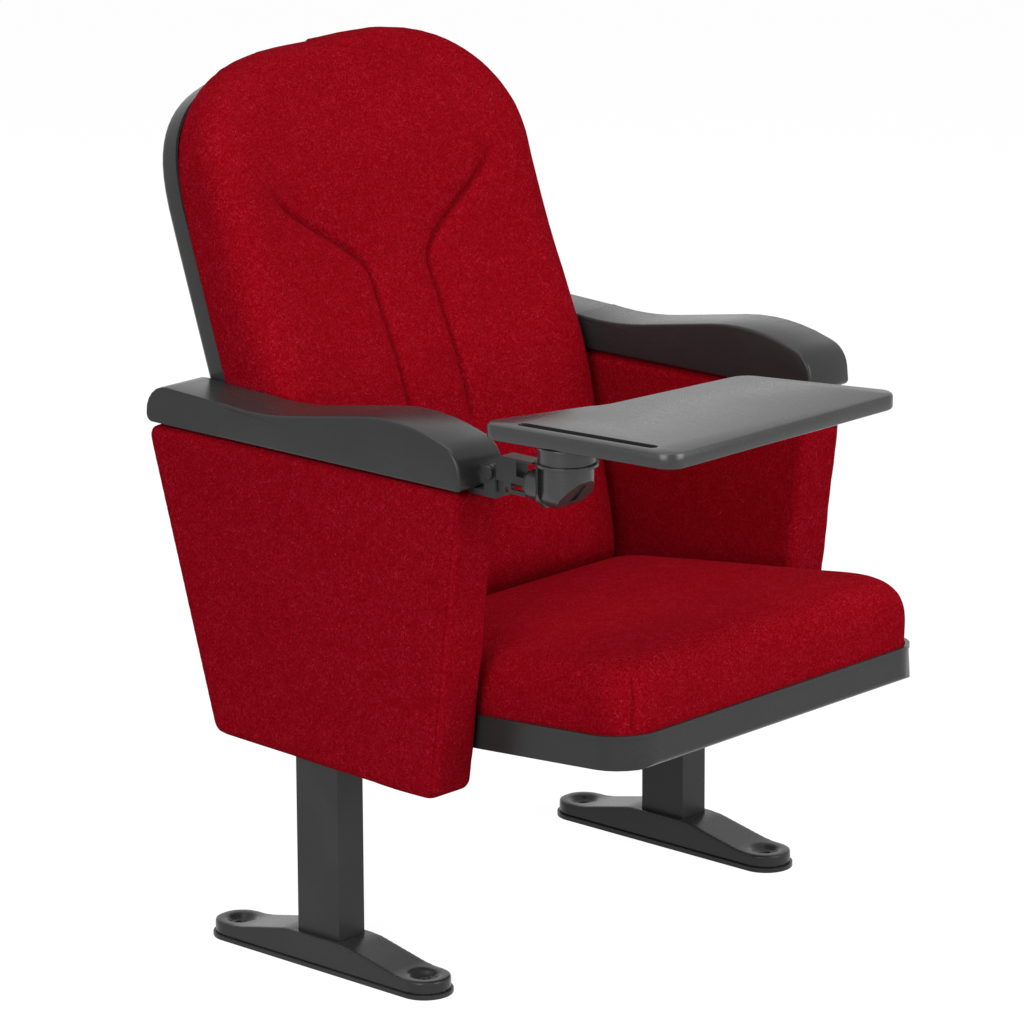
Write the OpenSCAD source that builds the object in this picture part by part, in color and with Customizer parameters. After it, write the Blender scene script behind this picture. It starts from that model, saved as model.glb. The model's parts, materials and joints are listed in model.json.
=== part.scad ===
// Tip-up auditorium seat with an upholstered back and seat, two padded side
// standards bolted to the floor, and a folding writing tablet.
// The seat faces -Y, +X is the sitter's left, and Z = 0 is the floor.
// The origin is the centre of the four floor bolt holes.

/* [Side standards] */
// Distance between the centres of the two side standards
standard_pitch = 550; // [520:1:620]
// Front to back size of the post tube
post_d = 60; // [50:1:70]
// Width of the post tube
post_w = 38; // [30:1:40]
// Wall of the post tube
post_wall = 2; // [1.5:0.1:3]
// Distance of the top of the post below the panel's top edge
post_drop = 7; // [6.5:0.5:9]

/* [Feet] */
// Overall length of a foot, front to back
foot_len = 330; // [310:1:380]
// Overall width of a foot
foot_w = 60; // [56:1:80]
// Thickness of the steel foot plate
foot_plate_t = 5; // [4:0.5:8]
// Distance of a floor bolt from the end of its foot
floor_bolt_end = 30.5; // [28:0.5:40]
// Diameter of a floor bolt hole
floor_bolt_hole_d = 13; // [9:0.5:14]
// Diameter of the recess round a floor bolt
floor_bolt_recess_d = 34; // [26:1:36]
// Height of the foot cover at the post
foot_crown_h = 35; // [28:1:50]
// Height of the foot cover at its ends
foot_end_h = 19; // [15:1:24]
// Wall of the foot cover
foot_cover_wall = 3; // [2:0.5:4]

/* [Side panels] */
// Thickness of a padded side panel
panel_t = 62; // [58:1:70]
// Height of the panel's top edge
panel_top = 553; // [552:0.5:555]
// Height of the panel's bottom edge at the back
panel_bottom_rear = 232; // [215:1:250]
// Height of the panel's bottom edge at the front
panel_bottom_front = 221; // [205:1:240]
// Reach of the panel's top edge behind the post centre
panel_top_rear = 234; // [215:1:245]
// Reach of the panel's top edge in front of the post centre
panel_top_front = 217; // [205:1:218]
// Reach of the panel's bottom edge behind the post centre
panel_low_rear = 139; // [120:1:160]
// Reach of the panel's bottom edge in front of the post centre
panel_low_front = 176; // [150:1:190]
// Rounding of the padded panel's edges
panel_edge_r = 8; // [5:0.5:9.5]
// Thickness of each plywood board in the panel
panel_board_t = 8; // [6:0.5:9]
// Width of the timber rails round the panel
rail_w = 22; // [16:1:26]

/* [Armrests] */
// Width of an armrest
armrest_w = 66; // [62:1:70]
// Gap between the panel's top edge and the armrest
armrest_gap = 3; // [2.5:0.5:6]
// Thickness of the armrest at its crest
armrest_crest_t = 66; // [58:1:74]
// Thickness of the armrest at its dip
armrest_dip_t = 32.5; // [28:0.5:38]
// Thickness of the armrest's rear block
armrest_rear_t = 41; // [36:1:46]
// Reach of the armrest's nose in front of the post centre
armrest_front = 221; // [219:0.5:228]
// Reach of the armrest behind the post centre
armrest_rear = 232; // [220:1:240]
// Rounding of the armrest's long edges
armrest_edge_r = 3.5; // [2:0.5:5]

/* [Back] */
// Lean of the back from upright, in degrees
back_lean = 18.4; // [16:0.1:20]
// Gap between the back shell and the nearer of an armrest and a side panel
back_side_gap = 1; // [1:0.5:5]
// Length of the straight sides of the back shell
back_straight = 431; // [420:1:440]
// Rise of the shell's arched top above its straight sides
back_arch_h = 170; // [160:1:176]
// Rise of the cushion's arched top above its straight sides
cushion_arch_h = 186; // [180:1:200]
// Depth of the back shell
back_shell_d = 26; // [24:0.5:34]
// Wall of the back shell
back_shell_wall = 3; // [2.5:0.1:4]
// Thickness of the plywood board in the back
back_board_t = 12; // [9:0.5:14]
// Thickness of the back cushion at its top
back_cushion_t = 72; // [64:1:76]
// Extra thickness of the back cushion at the small of the back
lumbar_t = 13; // [4:1:18]
// Rounding of the back cushion's edges
back_edge_r = 34; // [24:1:38]
// Depth of the pressed channels in the back cushion
channel_depth = 6; // [2:0.5:9]

/* [Seat] */
// Height of the seat hinge above the rear of the panel's bottom edge
hinge_rise = 30; // [28:1:36]
// Distance of the seat hinge in front of the post centre
hinge_y = 50; // [46:1:56]
// Slope of the seat pan, in degrees
seat_slope = 4; // [2:0.5:6]
// Gap between the seat pan and a side panel
pan_side_gap = 4; // [3:0.5:8]
// Reach of the seat pan in front of the hinge
pan_front = 337; // [320:1:350]
// Reach of the seat pan behind the hinge
pan_rear = 74; // [66:1:80]
// Height of the pan's rim above the hinge
pan_rim = 30; // [28:0.5:34]
// Depth of the front of the seat pan
pan_depth = 36; // [30:1:42]
// Wall of the seat pan
pan_wall = 3.5; // [2.5:0.1:4]
// Corner radius of the seat pan
pan_corner_r = 46; // [40:1:70]
// Thickness of the plywood seat board
seat_board_t = 12; // [10:0.5:13]
// Height of the seat cushion's front edge above the rim
cushion_edge_h = 76; // [64:1:84]
// Extra height of the seat cushion's crown
cushion_crown = 20; // [8:1:24]
// Rounding of the seat cushion's edges
cushion_edge_r = 36; // [22:1:40]
// Diameter of the hinge pin
hinge_pin_d = 14; // [12:0.5:16]
// Radial running clearance of the hinges
run_gap = 0.05; // [0.03:0.01:0.08]

/* [Writing tablet] */
// Height of the tablet's top face above the armrest's crest
tablet_rise = 15; // [10:1:28]
// Thickness of the tablet
tablet_t = 17; // [12:0.5:19]
// Gap between the armrest's nose and the tablet, front to back
tablet_nose_gap = 27.5; // [26:0.5:40]
// Size of the tablet at its right-hand end, front to back
tablet_d = 239.5; // [210:0.5:270]
// Depth of the step in the tablet's rear edge
tablet_step_d = 69.5; // [60:0.5:80]
// Reach of the tablet across the seat from its right-hand standard
tablet_reach = 340; // [300:1:365]
// Overhang of the tablet outside the centre of its standard
tablet_overhang = 40.5; // [34:0.5:46]
// Length of the pen groove
pen_groove_len = 165; // [120:1:175]
// Diameter of the tablet's round housing
housing_d = 54; // [50:1:60]
// Depth of the tablet's round housing
housing_h = 46; // [42:1:50]

/* [Hidden] */
$fn = 64;

// Shared small values
cut = 1;
hair = 0.3;
arc_steps = 6;
screw_r = 2.5;
screw_head_r = 4.5;
screw_head_h = 3;
dark = [0.17, 0.17, 0.18];
red = [0.62, 0.03, 0.09];
steel = [0.55, 0.56, 0.58];
timber = [0.72, 0.55, 0.36];

// Places worked out from the driving sizes
std_x = standard_pitch / 2;
inner_face = std_x - panel_t / 2;
post_top = panel_top - post_drop;
floor_bolt_spacing = foot_len - 2 * floor_bolt_end;
armrest_bottom = panel_top + armrest_gap;
armrest_crest = armrest_bottom + armrest_crest_t;
hinge_z = panel_bottom_rear + hinge_rise;
back_half_w = std_x - max(armrest_w, panel_t) / 2 - back_side_gap;
pan_half_w = inner_face - pan_side_gap;
foot_lip = 2.5;
post_fit = 0.3;
pin_r = hinge_pin_d / 2;

// Vector turned by an angle
function turned(v, a) = [v.x * cos(a) - v.y * sin(a), v.x * sin(a) + v.y * cos(a)];
function unit(v) = v / norm(v);
function mean(p) = [for (i = [0:len(p[0]) - 1]) sum([for (q = p) q[i]]) / len(p)];
function sum(v, i = 0) = i == len(v) ? 0 : v[i] + sum(v, i + 1);
function smooth(t) = let (u = max(min(t, 1), 0)) u * u * (3 - 2 * u);

// Polygon p, counter-clockwise, with corner radii r, drawn in by t
function rounded(p, r, t = 0, steps = arc_steps) = [
    for (i = [0:len(p) - 1])
        let (
            b = p[i],
            d1 = unit(b - p[(i + len(p) - 1) % len(p)]),
            d2 = unit(p[(i + 1) % len(p)] - b),
            n1 = [-d1.y, d1.x],
            n2 = [-d2.y, d2.x],
            bend = d1.x * d2.y - d1.y * d2.x,
            k = sign(bend),
            centre = b + k * (n1 + n2) * r[i] / (1 + n1 * n2),
            rho = r[i] - k * t,
            sweep = atan2(bend, d1 * d2)
        )
        for (j = [0:steps]) centre - k * rho * turned(n1, sweep * j / steps)
];

// Closed outline with each side cut into pieces no longer than step
function divided(p, step) = [
    for (i = [0:len(p) - 1])
        let (a = p[i], b = p[(i + 1) % len(p)], n = max(1, ceil(norm(b - a) / step)))
        for (j = [0:n - 1]) a + (b - a) * j / n
];

// Closed skin over rings of equal length that climb out of the first ring's face
module skin(rings) {
    n = len(rings[0]);
    m = len(rings);
    points = concat([for (r = rings) each r], [mean(rings[0]), mean(rings[m - 1])]);
    walls = [
        for (k = [0:m - 2])
            for (i = [0:n - 1])
                let (a = k * n + i, b = k * n + (i + 1) % n)
                each [[a, b + n, b], [a, a + n, b + n]]
    ];
    first = [for (i = [0:n - 1]) [m * n, i, (i + 1) % n]];
    last = [for (i = [0:n - 1]) [m * n + 1, (m - 1) * n + (i + 1) % n, (m - 1) * n + i]];
    polyhedron(points = points, faces = concat(walls, first, last));
}

// Bar along X whose outline p is given as [y, z], with its long edges rounded
module soft_bar(p, r, half_w, edge_r, steps = 4) {
    turns = [for (k = [0:steps]) 90 * k / steps];
    low = [for (k = [steps:-1:0]) [-half_w + edge_r * (1 - sin(turns[k])), edge_r * (1 - cos(turns[k]))]];
    high = [for (k = [0:steps]) [half_w - edge_r * (1 - sin(turns[k])), edge_r * (1 - cos(turns[k]))]];
    skin([for (q = concat(low, high)) [for (c = rounded(p, r, q[1])) [q[0], c.x, c.y]]]);
}

// Flat bar along X, from x0 to x1, of a plain outline given as [y, z]
module bar(points, x0, x1) {
    translate([x0, 0, 0]) rotate([90, 0, 90]) linear_extrude(height = x1 - x0) polygon(points);
}

module rod_x(r, x0, x1) {
    translate([x0, 0, 0]) rotate([0, 90, 0]) cylinder(r = r, h = x1 - x0);
}

module rod_y(r, y0, y1) {
    translate([0, y1, 0]) rotate([90, 0, 0]) cylinder(r = r, h = y1 - y0);
}

module box(x0, x1, y0, y1, z0, z1) {
    translate([x0, y0, z0]) cube([x1 - x0, y1 - y0, z1 - z0]);
}

// Everything of a side standard is drawn on the sitter's left and mirrored
module on_side(side) {
    if (side == "right") mirror([1, 0, 0]) children();
    else children();
}

/* Feet */

module stadium(length, width, z0, z1) {
    translate([0, 0, z0]) linear_extrude(height = z1 - z0) union() {
        square([width, length - width], center = true);
        for (s = [-1, 1]) translate([0, s * (length - width) / 2]) circle(d = width);
    }
}

module floor_bolt_places() {
    for (s = [-1, 1]) translate([std_x, s * floor_bolt_spacing / 2, 0]) children();
}

module foot_plate(side) {
    color(dark) on_side(side) difference() {
        translate([std_x, 0, 0]) stadium(foot_len, foot_w, 0, foot_plate_t);
        floor_bolt_places() translate([0, 0, -cut]) cylinder(d = floor_bolt_hole_d, h = foot_plate_t + 2 * cut);
    }
}

foot_shoulder = 14;
foot_toe_len = 46;
foot_shoulder_y = post_d / 2 + foot_shoulder;
foot_fall_y = foot_len / 2 - foot_toe_len;
recess_h = 6;
recess_floor_w = 3.5;

// Outline of the foot cover seen from the side, drawn in by t
function foot_arch(t) = rounded(
    [
        [-foot_len / 2 - t, foot_plate_t - cut], [foot_len / 2 + t, foot_plate_t - cut],
        [foot_len / 2 + t, foot_end_h], [foot_fall_y, foot_end_h],
        [foot_shoulder_y, foot_crown_h], [-foot_shoulder_y, foot_crown_h],
        [-foot_fall_y, foot_end_h], [-foot_len / 2 - t, foot_end_h]
    ],
    [cut, cut, 2 * foot_cover_wall, foot_len / 3, foot_len / 4, foot_len / 4, foot_len / 3, 2 * foot_cover_wall], t
);

module foot_form(t) {
    intersection() {
        stadium(foot_len - 2 * foot_lip - 2 * t, foot_w - 2 * foot_lip - 2 * t, foot_plate_t, foot_crown_h);
        bar(foot_arch(t), -foot_w / 2, foot_w / 2);
    }
}

module foot_cover(side) {
    neck_d = floor_bolt_hole_d + 2 * recess_floor_w;
    color(dark) on_side(side) difference() {
        union() {
            difference() {
                translate([std_x, 0, 0]) foot_form(0);
                translate([std_x, 0, -cut]) foot_form(foot_cover_wall);
            }
            intersection() {
                translate([std_x, 0, 0]) foot_form(0);
                floor_bolt_places() cylinder(d = floor_bolt_recess_d + 2 * foot_cover_wall, h = foot_crown_h);
            }
        }
        box(std_x - post_w / 2 - post_fit, std_x + post_w / 2 + post_fit,
            -post_d / 2 - post_fit, post_d / 2 + post_fit, 0, foot_crown_h + cut);
        floor_bolt_places() translate([0, 0, foot_end_h - recess_h])
            cylinder(d1 = neck_d, d2 = floor_bolt_recess_d, h = recess_h + hair);
        floor_bolt_places() translate([0, 0, foot_end_h]) cylinder(d = floor_bolt_recess_d, h = foot_crown_h);
        floor_bolt_places() cylinder(d = floor_bolt_hole_d, h = foot_crown_h);
    }
}

/* Posts and side panels */

module post(side) {
    color(dark) on_side(side) difference() {
        box(std_x - post_w / 2, std_x + post_w / 2, -post_d / 2, post_d / 2, foot_plate_t, post_top);
        box(std_x - post_w / 2 + post_wall, std_x + post_w / 2 - post_wall,
            -post_d / 2 + post_wall, post_d / 2 - post_wall, foot_plate_t - cut, post_top + cut);
        pivot_screw_places() rod_x(screw_r, std_x - post_w / 2 - cut, std_x);
    }
}

arm_plate_t = 5;
arm_plate_inset = 1;
arm_plate_w = post_w - 2 * arm_plate_inset;
arm_plate_len = 170;
arm_screw_y = 65;
arm_plate_top = post_top + arm_plate_t;

module arm_plate(side) {
    color(steel) on_side(side) difference() {
        box(std_x - arm_plate_w / 2, std_x + arm_plate_w / 2,
            -arm_plate_len / 2, arm_plate_len / 2, post_top, arm_plate_top);
        for (s = [-1, 1]) translate([std_x, s * arm_screw_y, post_top - cut])
            cylinder(r = screw_r + hair, h = arm_plate_t + 2 * cut);
    }
}

// Side outline of the padded panel as [y, z], counter-clockwise
panel_outline = [
    [-panel_low_front, panel_bottom_front], [panel_low_rear, panel_bottom_rear],
    [panel_top_rear, panel_top], [-panel_top_front, panel_top]
];
panel_corner_r = [12, 13, 11, 10];
panel_pad = 10;
board_out = post_w / 2 + panel_board_t;

module panel_layer(t, x0, x1) {
    bar(rounded(panel_outline, [for (r = panel_corner_r) max(r, t)], t), x0, x1);
}

module post_space(gap) {
    box(std_x - post_w / 2 - gap, std_x + post_w / 2 + gap,
        -post_d / 2 - gap, post_d / 2 + gap, 0, panel_top + cut);
}

// The rails in front of the post (way -1) or behind it (way 1)
module panel_rails(side, way) {
    color(timber) on_side(side) difference() {
        intersection() {
            panel_layer(panel_pad, std_x - post_w / 2, std_x + post_w / 2);
            translate([std_x, way * panel_top_rear, 0])
                box(-post_w, post_w, -panel_top_rear, panel_top_rear, 0, panel_top);
        }
        bar(rounded(panel_outline, [for (r = panel_corner_r) panel_pad + rail_w + cut], panel_pad + rail_w),
            std_x - post_w / 2 - cut, std_x + post_w / 2 + cut);
        post_space(post_fit);
        box(std_x - post_w, std_x + post_w, -arm_plate_len / 2 - hair, arm_plate_len / 2 + hair,
            post_top - screw_head_h - 2 * cut, panel_top);
    }
}

module outer_board(side) {
    color(timber) on_side(side)
        panel_layer(panel_pad, std_x + post_w / 2, std_x + board_out);
}

pivot_plate_rear = post_d / 2;
pivot_plate_reach = 26;
pivot_plate_front = hinge_y + pivot_plate_reach;
pivot_plate_h = 46;

module pivot_plate_space(gap) {
    box(std_x - board_out - gap, std_x - post_w / 2, -pivot_plate_front - gap, pivot_plate_rear + gap,
        hinge_z - pivot_plate_h / 2 - gap, hinge_z + pivot_plate_h / 2 + gap);
}

module inner_board(side) {
    color(timber) on_side(side) difference() {
        panel_layer(panel_pad, std_x - board_out, std_x - post_w / 2);
        pivot_plate_space(hair);
        panel_screw_places() rod_x(screw_r, -panel_t, -panel_t + (panel_t - post_w) / 2 + cut);
    }
}

module panel_cover(side) {
    color(red) on_side(side) difference() {
        translate([std_x, 0, 0]) soft_bar(panel_outline, panel_corner_r, panel_t / 2, panel_edge_r);
        panel_layer(panel_pad - hair, std_x - board_out - hair, std_x + board_out + hair);
        post_space(hair);
        box(std_x - post_w / 2 - hair, std_x + post_w / 2 + hair, -arm_plate_len / 2 - hair,
            arm_plate_len / 2 + hair, post_top - panel_pad, panel_top + cut);
        translate([0, -hinge_y, hinge_z]) rod_x(stop_orbit + stop_r + 2 * cut, inner_face - cut, std_x - board_out);
        panel_screw_places() rod_x(screw_r + hair, -panel_t - cut, -panel_t / 2 - post_w / 2);
        if (side == "right") tablet_bar_space(hair);
    }
}

/* Armrests */

rear_block_len = 109;
rear_block_y = armrest_rear - rear_block_len;
rear_block_inset = 2.5;
// Places along the armrest as shares of its reach, and heights as shares of its thickness
ramp_share = 0.4698;
dip_share = 0.2931;
crest_share = 0.6154;
nose_top_share = 0.606;
ramp_top_share = 0.9024;
armrest_rake = 2;
nose_rake = 4;
armrest_outline = [
    [-armrest_front, armrest_bottom], [armrest_rear, armrest_bottom],
    [armrest_rear + armrest_rake, armrest_bottom + armrest_rear_t + armrest_rake / 2],
    [armrest_rear * ramp_share, armrest_bottom + armrest_rear_t * ramp_top_share],
    [armrest_rear * dip_share, armrest_bottom + armrest_dip_t],
    [-armrest_front * crest_share, armrest_crest],
    [-armrest_front + nose_rake, armrest_bottom + armrest_crest_t * nose_top_share]
];
armrest_corner_r = [6, 8, 30, 60, 360, 246, 30];
armrest_boss_r = 8;

module armrest(side) {
    color(dark) on_side(side) difference() {
        union() {
            translate([std_x, 0, 0])
                soft_bar(armrest_outline, armrest_corner_r, armrest_w / 2, armrest_edge_r, 3);
            for (s = [-1, 1]) translate([std_x, s * arm_screw_y, arm_plate_top])
                cylinder(r = armrest_boss_r, h = armrest_bottom - arm_plate_top + armrest_edge_r);
        }
        for (s = [-1, 1]) box(std_x + s * armrest_w / 2 - rear_block_inset, std_x + s * armrest_w / 2 + rear_block_inset,
            rear_block_y, armrest_rear + armrest_w, armrest_bottom - cut, armrest_crest);
        for (s = [-1, 1]) translate([std_x, s * arm_screw_y, arm_plate_top - cut])
            cylinder(r = screw_r, h = arm_screw_len);
        if (side == "right") tablet_bar_space(hair);
    }
}

arm_screw_len = 26;

module armrest_screws() {
    color(steel) for (side = ["right", "left"]) on_side(side) for (s = [-1, 1])
        translate([std_x, s * arm_screw_y, 0]) {
            translate([0, 0, post_top - screw_head_h]) cylinder(r = screw_head_r, h = screw_head_h);
            translate([0, 0, post_top - hair]) cylinder(r = screw_r, h = arm_screw_len - 2 * cut);
        }
}

/* Seat hinge, fixed side */

stop_orbit = 22;
stop_r = 3.5;
stop_rest_angle = -45;
seat_tip = 70;
pin_len = 40;
pin_tip = inner_face - pin_len;
bracket_inset = 9.5;
bracket_out = pan_half_w - pan_wall - bracket_inset;
bracket_t = 5;

module pivot_plate(side) {
    color(steel) on_side(side) {
        difference() {
            pivot_plate_space(0);
            pivot_screw_places() rod_x(screw_r + hair, std_x - board_out - cut, std_x);
            pivot_screw_places() rod_x(screw_head_r + hair, std_x - board_out - cut, std_x - board_out + screw_head_h);
        }
        translate([0, -hinge_y, hinge_z]) rod_x(pin_r, pin_tip, std_x - board_out);
        translate([0, -hinge_y, hinge_z]) rotate([stop_rest_angle, 0, 0]) translate([0, stop_orbit, 0])
            rod_x(stop_r, bracket_out - bracket_t + cut, std_x - board_out);
    }
}

module pivot_screw_places() {
    for (y = [-post_d / 4, post_d / 4]) for (s = [-1, 1])
        translate([0, y, hinge_z + s * pivot_plate_h / 3]) children();
}

module pivot_plate_screws() {
    color(steel) for (side = ["right", "left"]) on_side(side) pivot_screw_places() {
        rod_x(screw_head_r, std_x - board_out, std_x - board_out + screw_head_h);
        rod_x(screw_r, std_x - board_out + screw_head_h - hair, std_x - post_w / 2 + post_wall + cut);
    }
}

/* Back */

// The back is drawn upright: X across, Y to the rear, Z up along the back
back_seat_y = 91;
back_rise = 68;
back_origin = [0, back_seat_y, hinge_z + back_rise];
back_foot = -28;
arch_power = 3.5;

module back_frame() {
    translate(back_origin) rotate([-back_lean, 0, 0]) children();
}

// Outline of the back as [x, z], counter-clockwise seen from the front
function back_outline(t, steps = 20) = let (
    w = back_half_w - t,
    foot = back_foot + t,
    right = [for (k = [0:steps]) let (a = 90 * k / steps)
        [w * pow(cos(a), 2 / arch_power), back_straight + (back_arch_h - t) * pow(sin(a), 2 / arch_power)]],
    left = [for (k = [1:steps]) let (p = right[steps - k]) [-p.x, p.y]]
) concat([[-w, foot], [w, foot]], right, left);

module back_slab(t, y0, y1) {
    translate([0, y1, 0]) rotate([90, 0, 0]) linear_extrude(height = y1 - y0) polygon(back_outline(t));
}

shell_round = 8;
back_screw_z = [60, 150];
back_screw_inset = 4;
back_leg_w = 40;
back_leg_t = 3;
back_bracket_z0 = 34;
back_bracket_z1 = 176;
side_leg_d = 26;

module back_shell() {
    rear = [
        for (k = [0:4]) let (a = 90 - 90 * k / 4)
            [back_shell_d - shell_round * (1 - sin(a)), shell_round * (1 - cos(a))]
    ];
    color(dark) back_frame() difference() {
        union() {
            difference() {
                skin([for (q = concat(rear, [[0, 0]])) [for (p = back_outline(q[1])) [p.x, q[0], p.y]]]);
                back_slab(back_shell_wall, -cut, back_shell_d - back_shell_wall);
            }
            back_screw_places() rod_y(screw_head_r + 2 * back_shell_wall, back_board_t, back_shell_d - back_shell_wall / 2);
        }
        back_screw_places() rod_y(screw_r + hair, 0, back_shell_d + cut);
    }
}

module back_screw_places() {
    for (s = [-1, 1]) for (z = back_screw_z) translate([s * (inner_face - back_leg_w / 2 - back_screw_inset), 0, z]) children();
}

// Room round a board for the fabric that is wrapped over its edge
board_wrap = 5;

module back_board() {
    color(timber) back_frame() difference() {
        back_slab(back_shell_wall + board_wrap, 0, back_board_t);
        back_screw_places() rod_y(screw_r, back_board_t / 4, back_board_t + cut);
    }
}

module back_bracket(side) {
    color(steel) on_side(side) back_frame() difference() {
        union() {
            box(inner_face - back_leg_w, inner_face - hair, back_shell_d, back_shell_d + back_leg_t,
                back_bracket_z0, back_bracket_z1);
            box(inner_face - back_leg_t - hair, inner_face - hair, back_shell_d, back_shell_d + side_leg_d,
                back_bracket_z0, back_bracket_z1);
        }
        back_screw_places() rod_y(screw_r + hair, 0, back_shell_d + side_leg_d);
        side_leg_places() rod_x(screw_r + hair, inner_face - back_leg_w, inner_face + cut);
    }
}

module side_leg_places() {
    for (z = back_screw_z) translate([0, back_shell_d + side_leg_d * 0.62, z]) children();
}

// The side leg's screw places, in the frame of the whole seat and measured from the panel
module panel_screw_places() {
    translate([inner_face + panel_t, 0, 0]) back_frame() side_leg_places() children();
}

module back_bracket_screws() {
    color(steel) back_frame() {
        back_screw_places() {
            rod_y(screw_head_r, back_shell_d + back_leg_t, back_shell_d + back_leg_t + screw_head_h);
            rod_y(screw_r, back_board_t / 4 + hair, back_shell_d + back_leg_t + hair);
        }
        for (side = ["right", "left"]) on_side(side) side_leg_places() {
            rod_x(screw_head_r, inner_face - back_leg_t - hair - screw_head_h, inner_face - back_leg_t - hair);
            rod_x(screw_r, inner_face - back_leg_t - 2 * hair, inner_face + (panel_t - post_w) / 2 - hair);
        }
    }
}

// Back cushion, a grid of points over the outline with a rounded edge,
// a fuller lower back and a pair of pressed channels that part towards the top
cushion_inset = 2;
cushion_out = 0.5;
cushion_half_w = back_half_w + cushion_out;
cushion_rise = 2;
cushion_straight = back_straight + cushion_rise;
cushion_power = 2.8;
toe_t = 27;
toe_fade = 60;
lumbar_share = 0.5196;
lumbar_z = cushion_straight * lumbar_share;
lumbar_spread = 95;
hollow_t = 24;
channel_w = 8;
// Places of the channels, as shares of half the width and of the straight sides
channel_low_share = 0.186;
channel_spread_share = 0.533;
channel_turn_shares = [0.806, 1.09];
channel_end_shares = [0.3464, 1.01];
// Thinning of the cushion towards its top, and the share of the straight sides where it starts
top_thin = 20;
top_thin_share = 1.0855;
top_thin_end_share = 0.7;
channel_low_x = back_half_w * channel_low_share;
channel_spread = back_half_w * channel_spread_share;
channel_turn = cushion_straight * channel_turn_shares;
channel_ends = cushion_straight * channel_end_shares;
channel_fade = 40;
edge_turns = [0, 22.5, 45, 67.5, 90];

function channel_x(z) =
    channel_low_x + channel_spread * smooth((z - channel_turn[0]) / (channel_turn[1] - channel_turn[0]));
function channel_lean(z) = (channel_x(z + cut) - channel_x(z - cut)) / (2 * cut);
function channel(x, z) =
    let (off = (abs(x) - channel_x(z)) / sqrt(1 + pow(channel_lean(z), 2)) / channel_w)
    channel_depth * exp(-off * off)
        * smooth((z - channel_ends[0]) / channel_fade) * smooth((channel_ends[1] + channel_fade - z) / channel_fade);

// Height of the cushion's outline at a distance x from its centre line
function arch_top(x) =
    let (share = min(abs(x) / cushion_half_w, 1))
    cushion_straight + cushion_arch_h * pow(1 - pow(share, cushion_power), 1 / cushion_power);

// Distance of a point inside the cushion's outline from its edge
function edge_distance(x, z) =
    let (
        rise = max(0, z - cushion_straight) / cushion_arch_h,
        f = pow(pow(abs(x) / cushion_half_w, cushion_power) + pow(rise, cushion_power), 1 / cushion_power),
        reach = rise > 0 ? norm([x, z - cushion_straight]) * (1 / max(f, 0.01) - 1) : cushion_half_w - abs(x)
    )
    max(0, min(reach, z - back_foot - cushion_inset));

function face_t(x, z) =
    back_cushion_t + lumbar_t * exp(-pow((z - lumbar_z) / lumbar_spread, 2))
    - top_thin * smooth((z - cushion_straight * top_thin_share) / (cushion_arch_h * top_thin_end_share))
    - toe_t * exp(-(z - back_foot) / toe_fade) - hollow_t * (1 - pow(x / back_half_w, 2)) * smooth(z / lumbar_spread);

function cushion_t(x, z) =
    let (d = min(edge_distance(x, z), back_edge_r), drop = back_edge_r - sqrt(pow(back_edge_r, 2) - pow(back_edge_r - d, 2)))
    face_t(x, z) - drop - channel(x, z) * smooth(d / back_edge_r);

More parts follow.
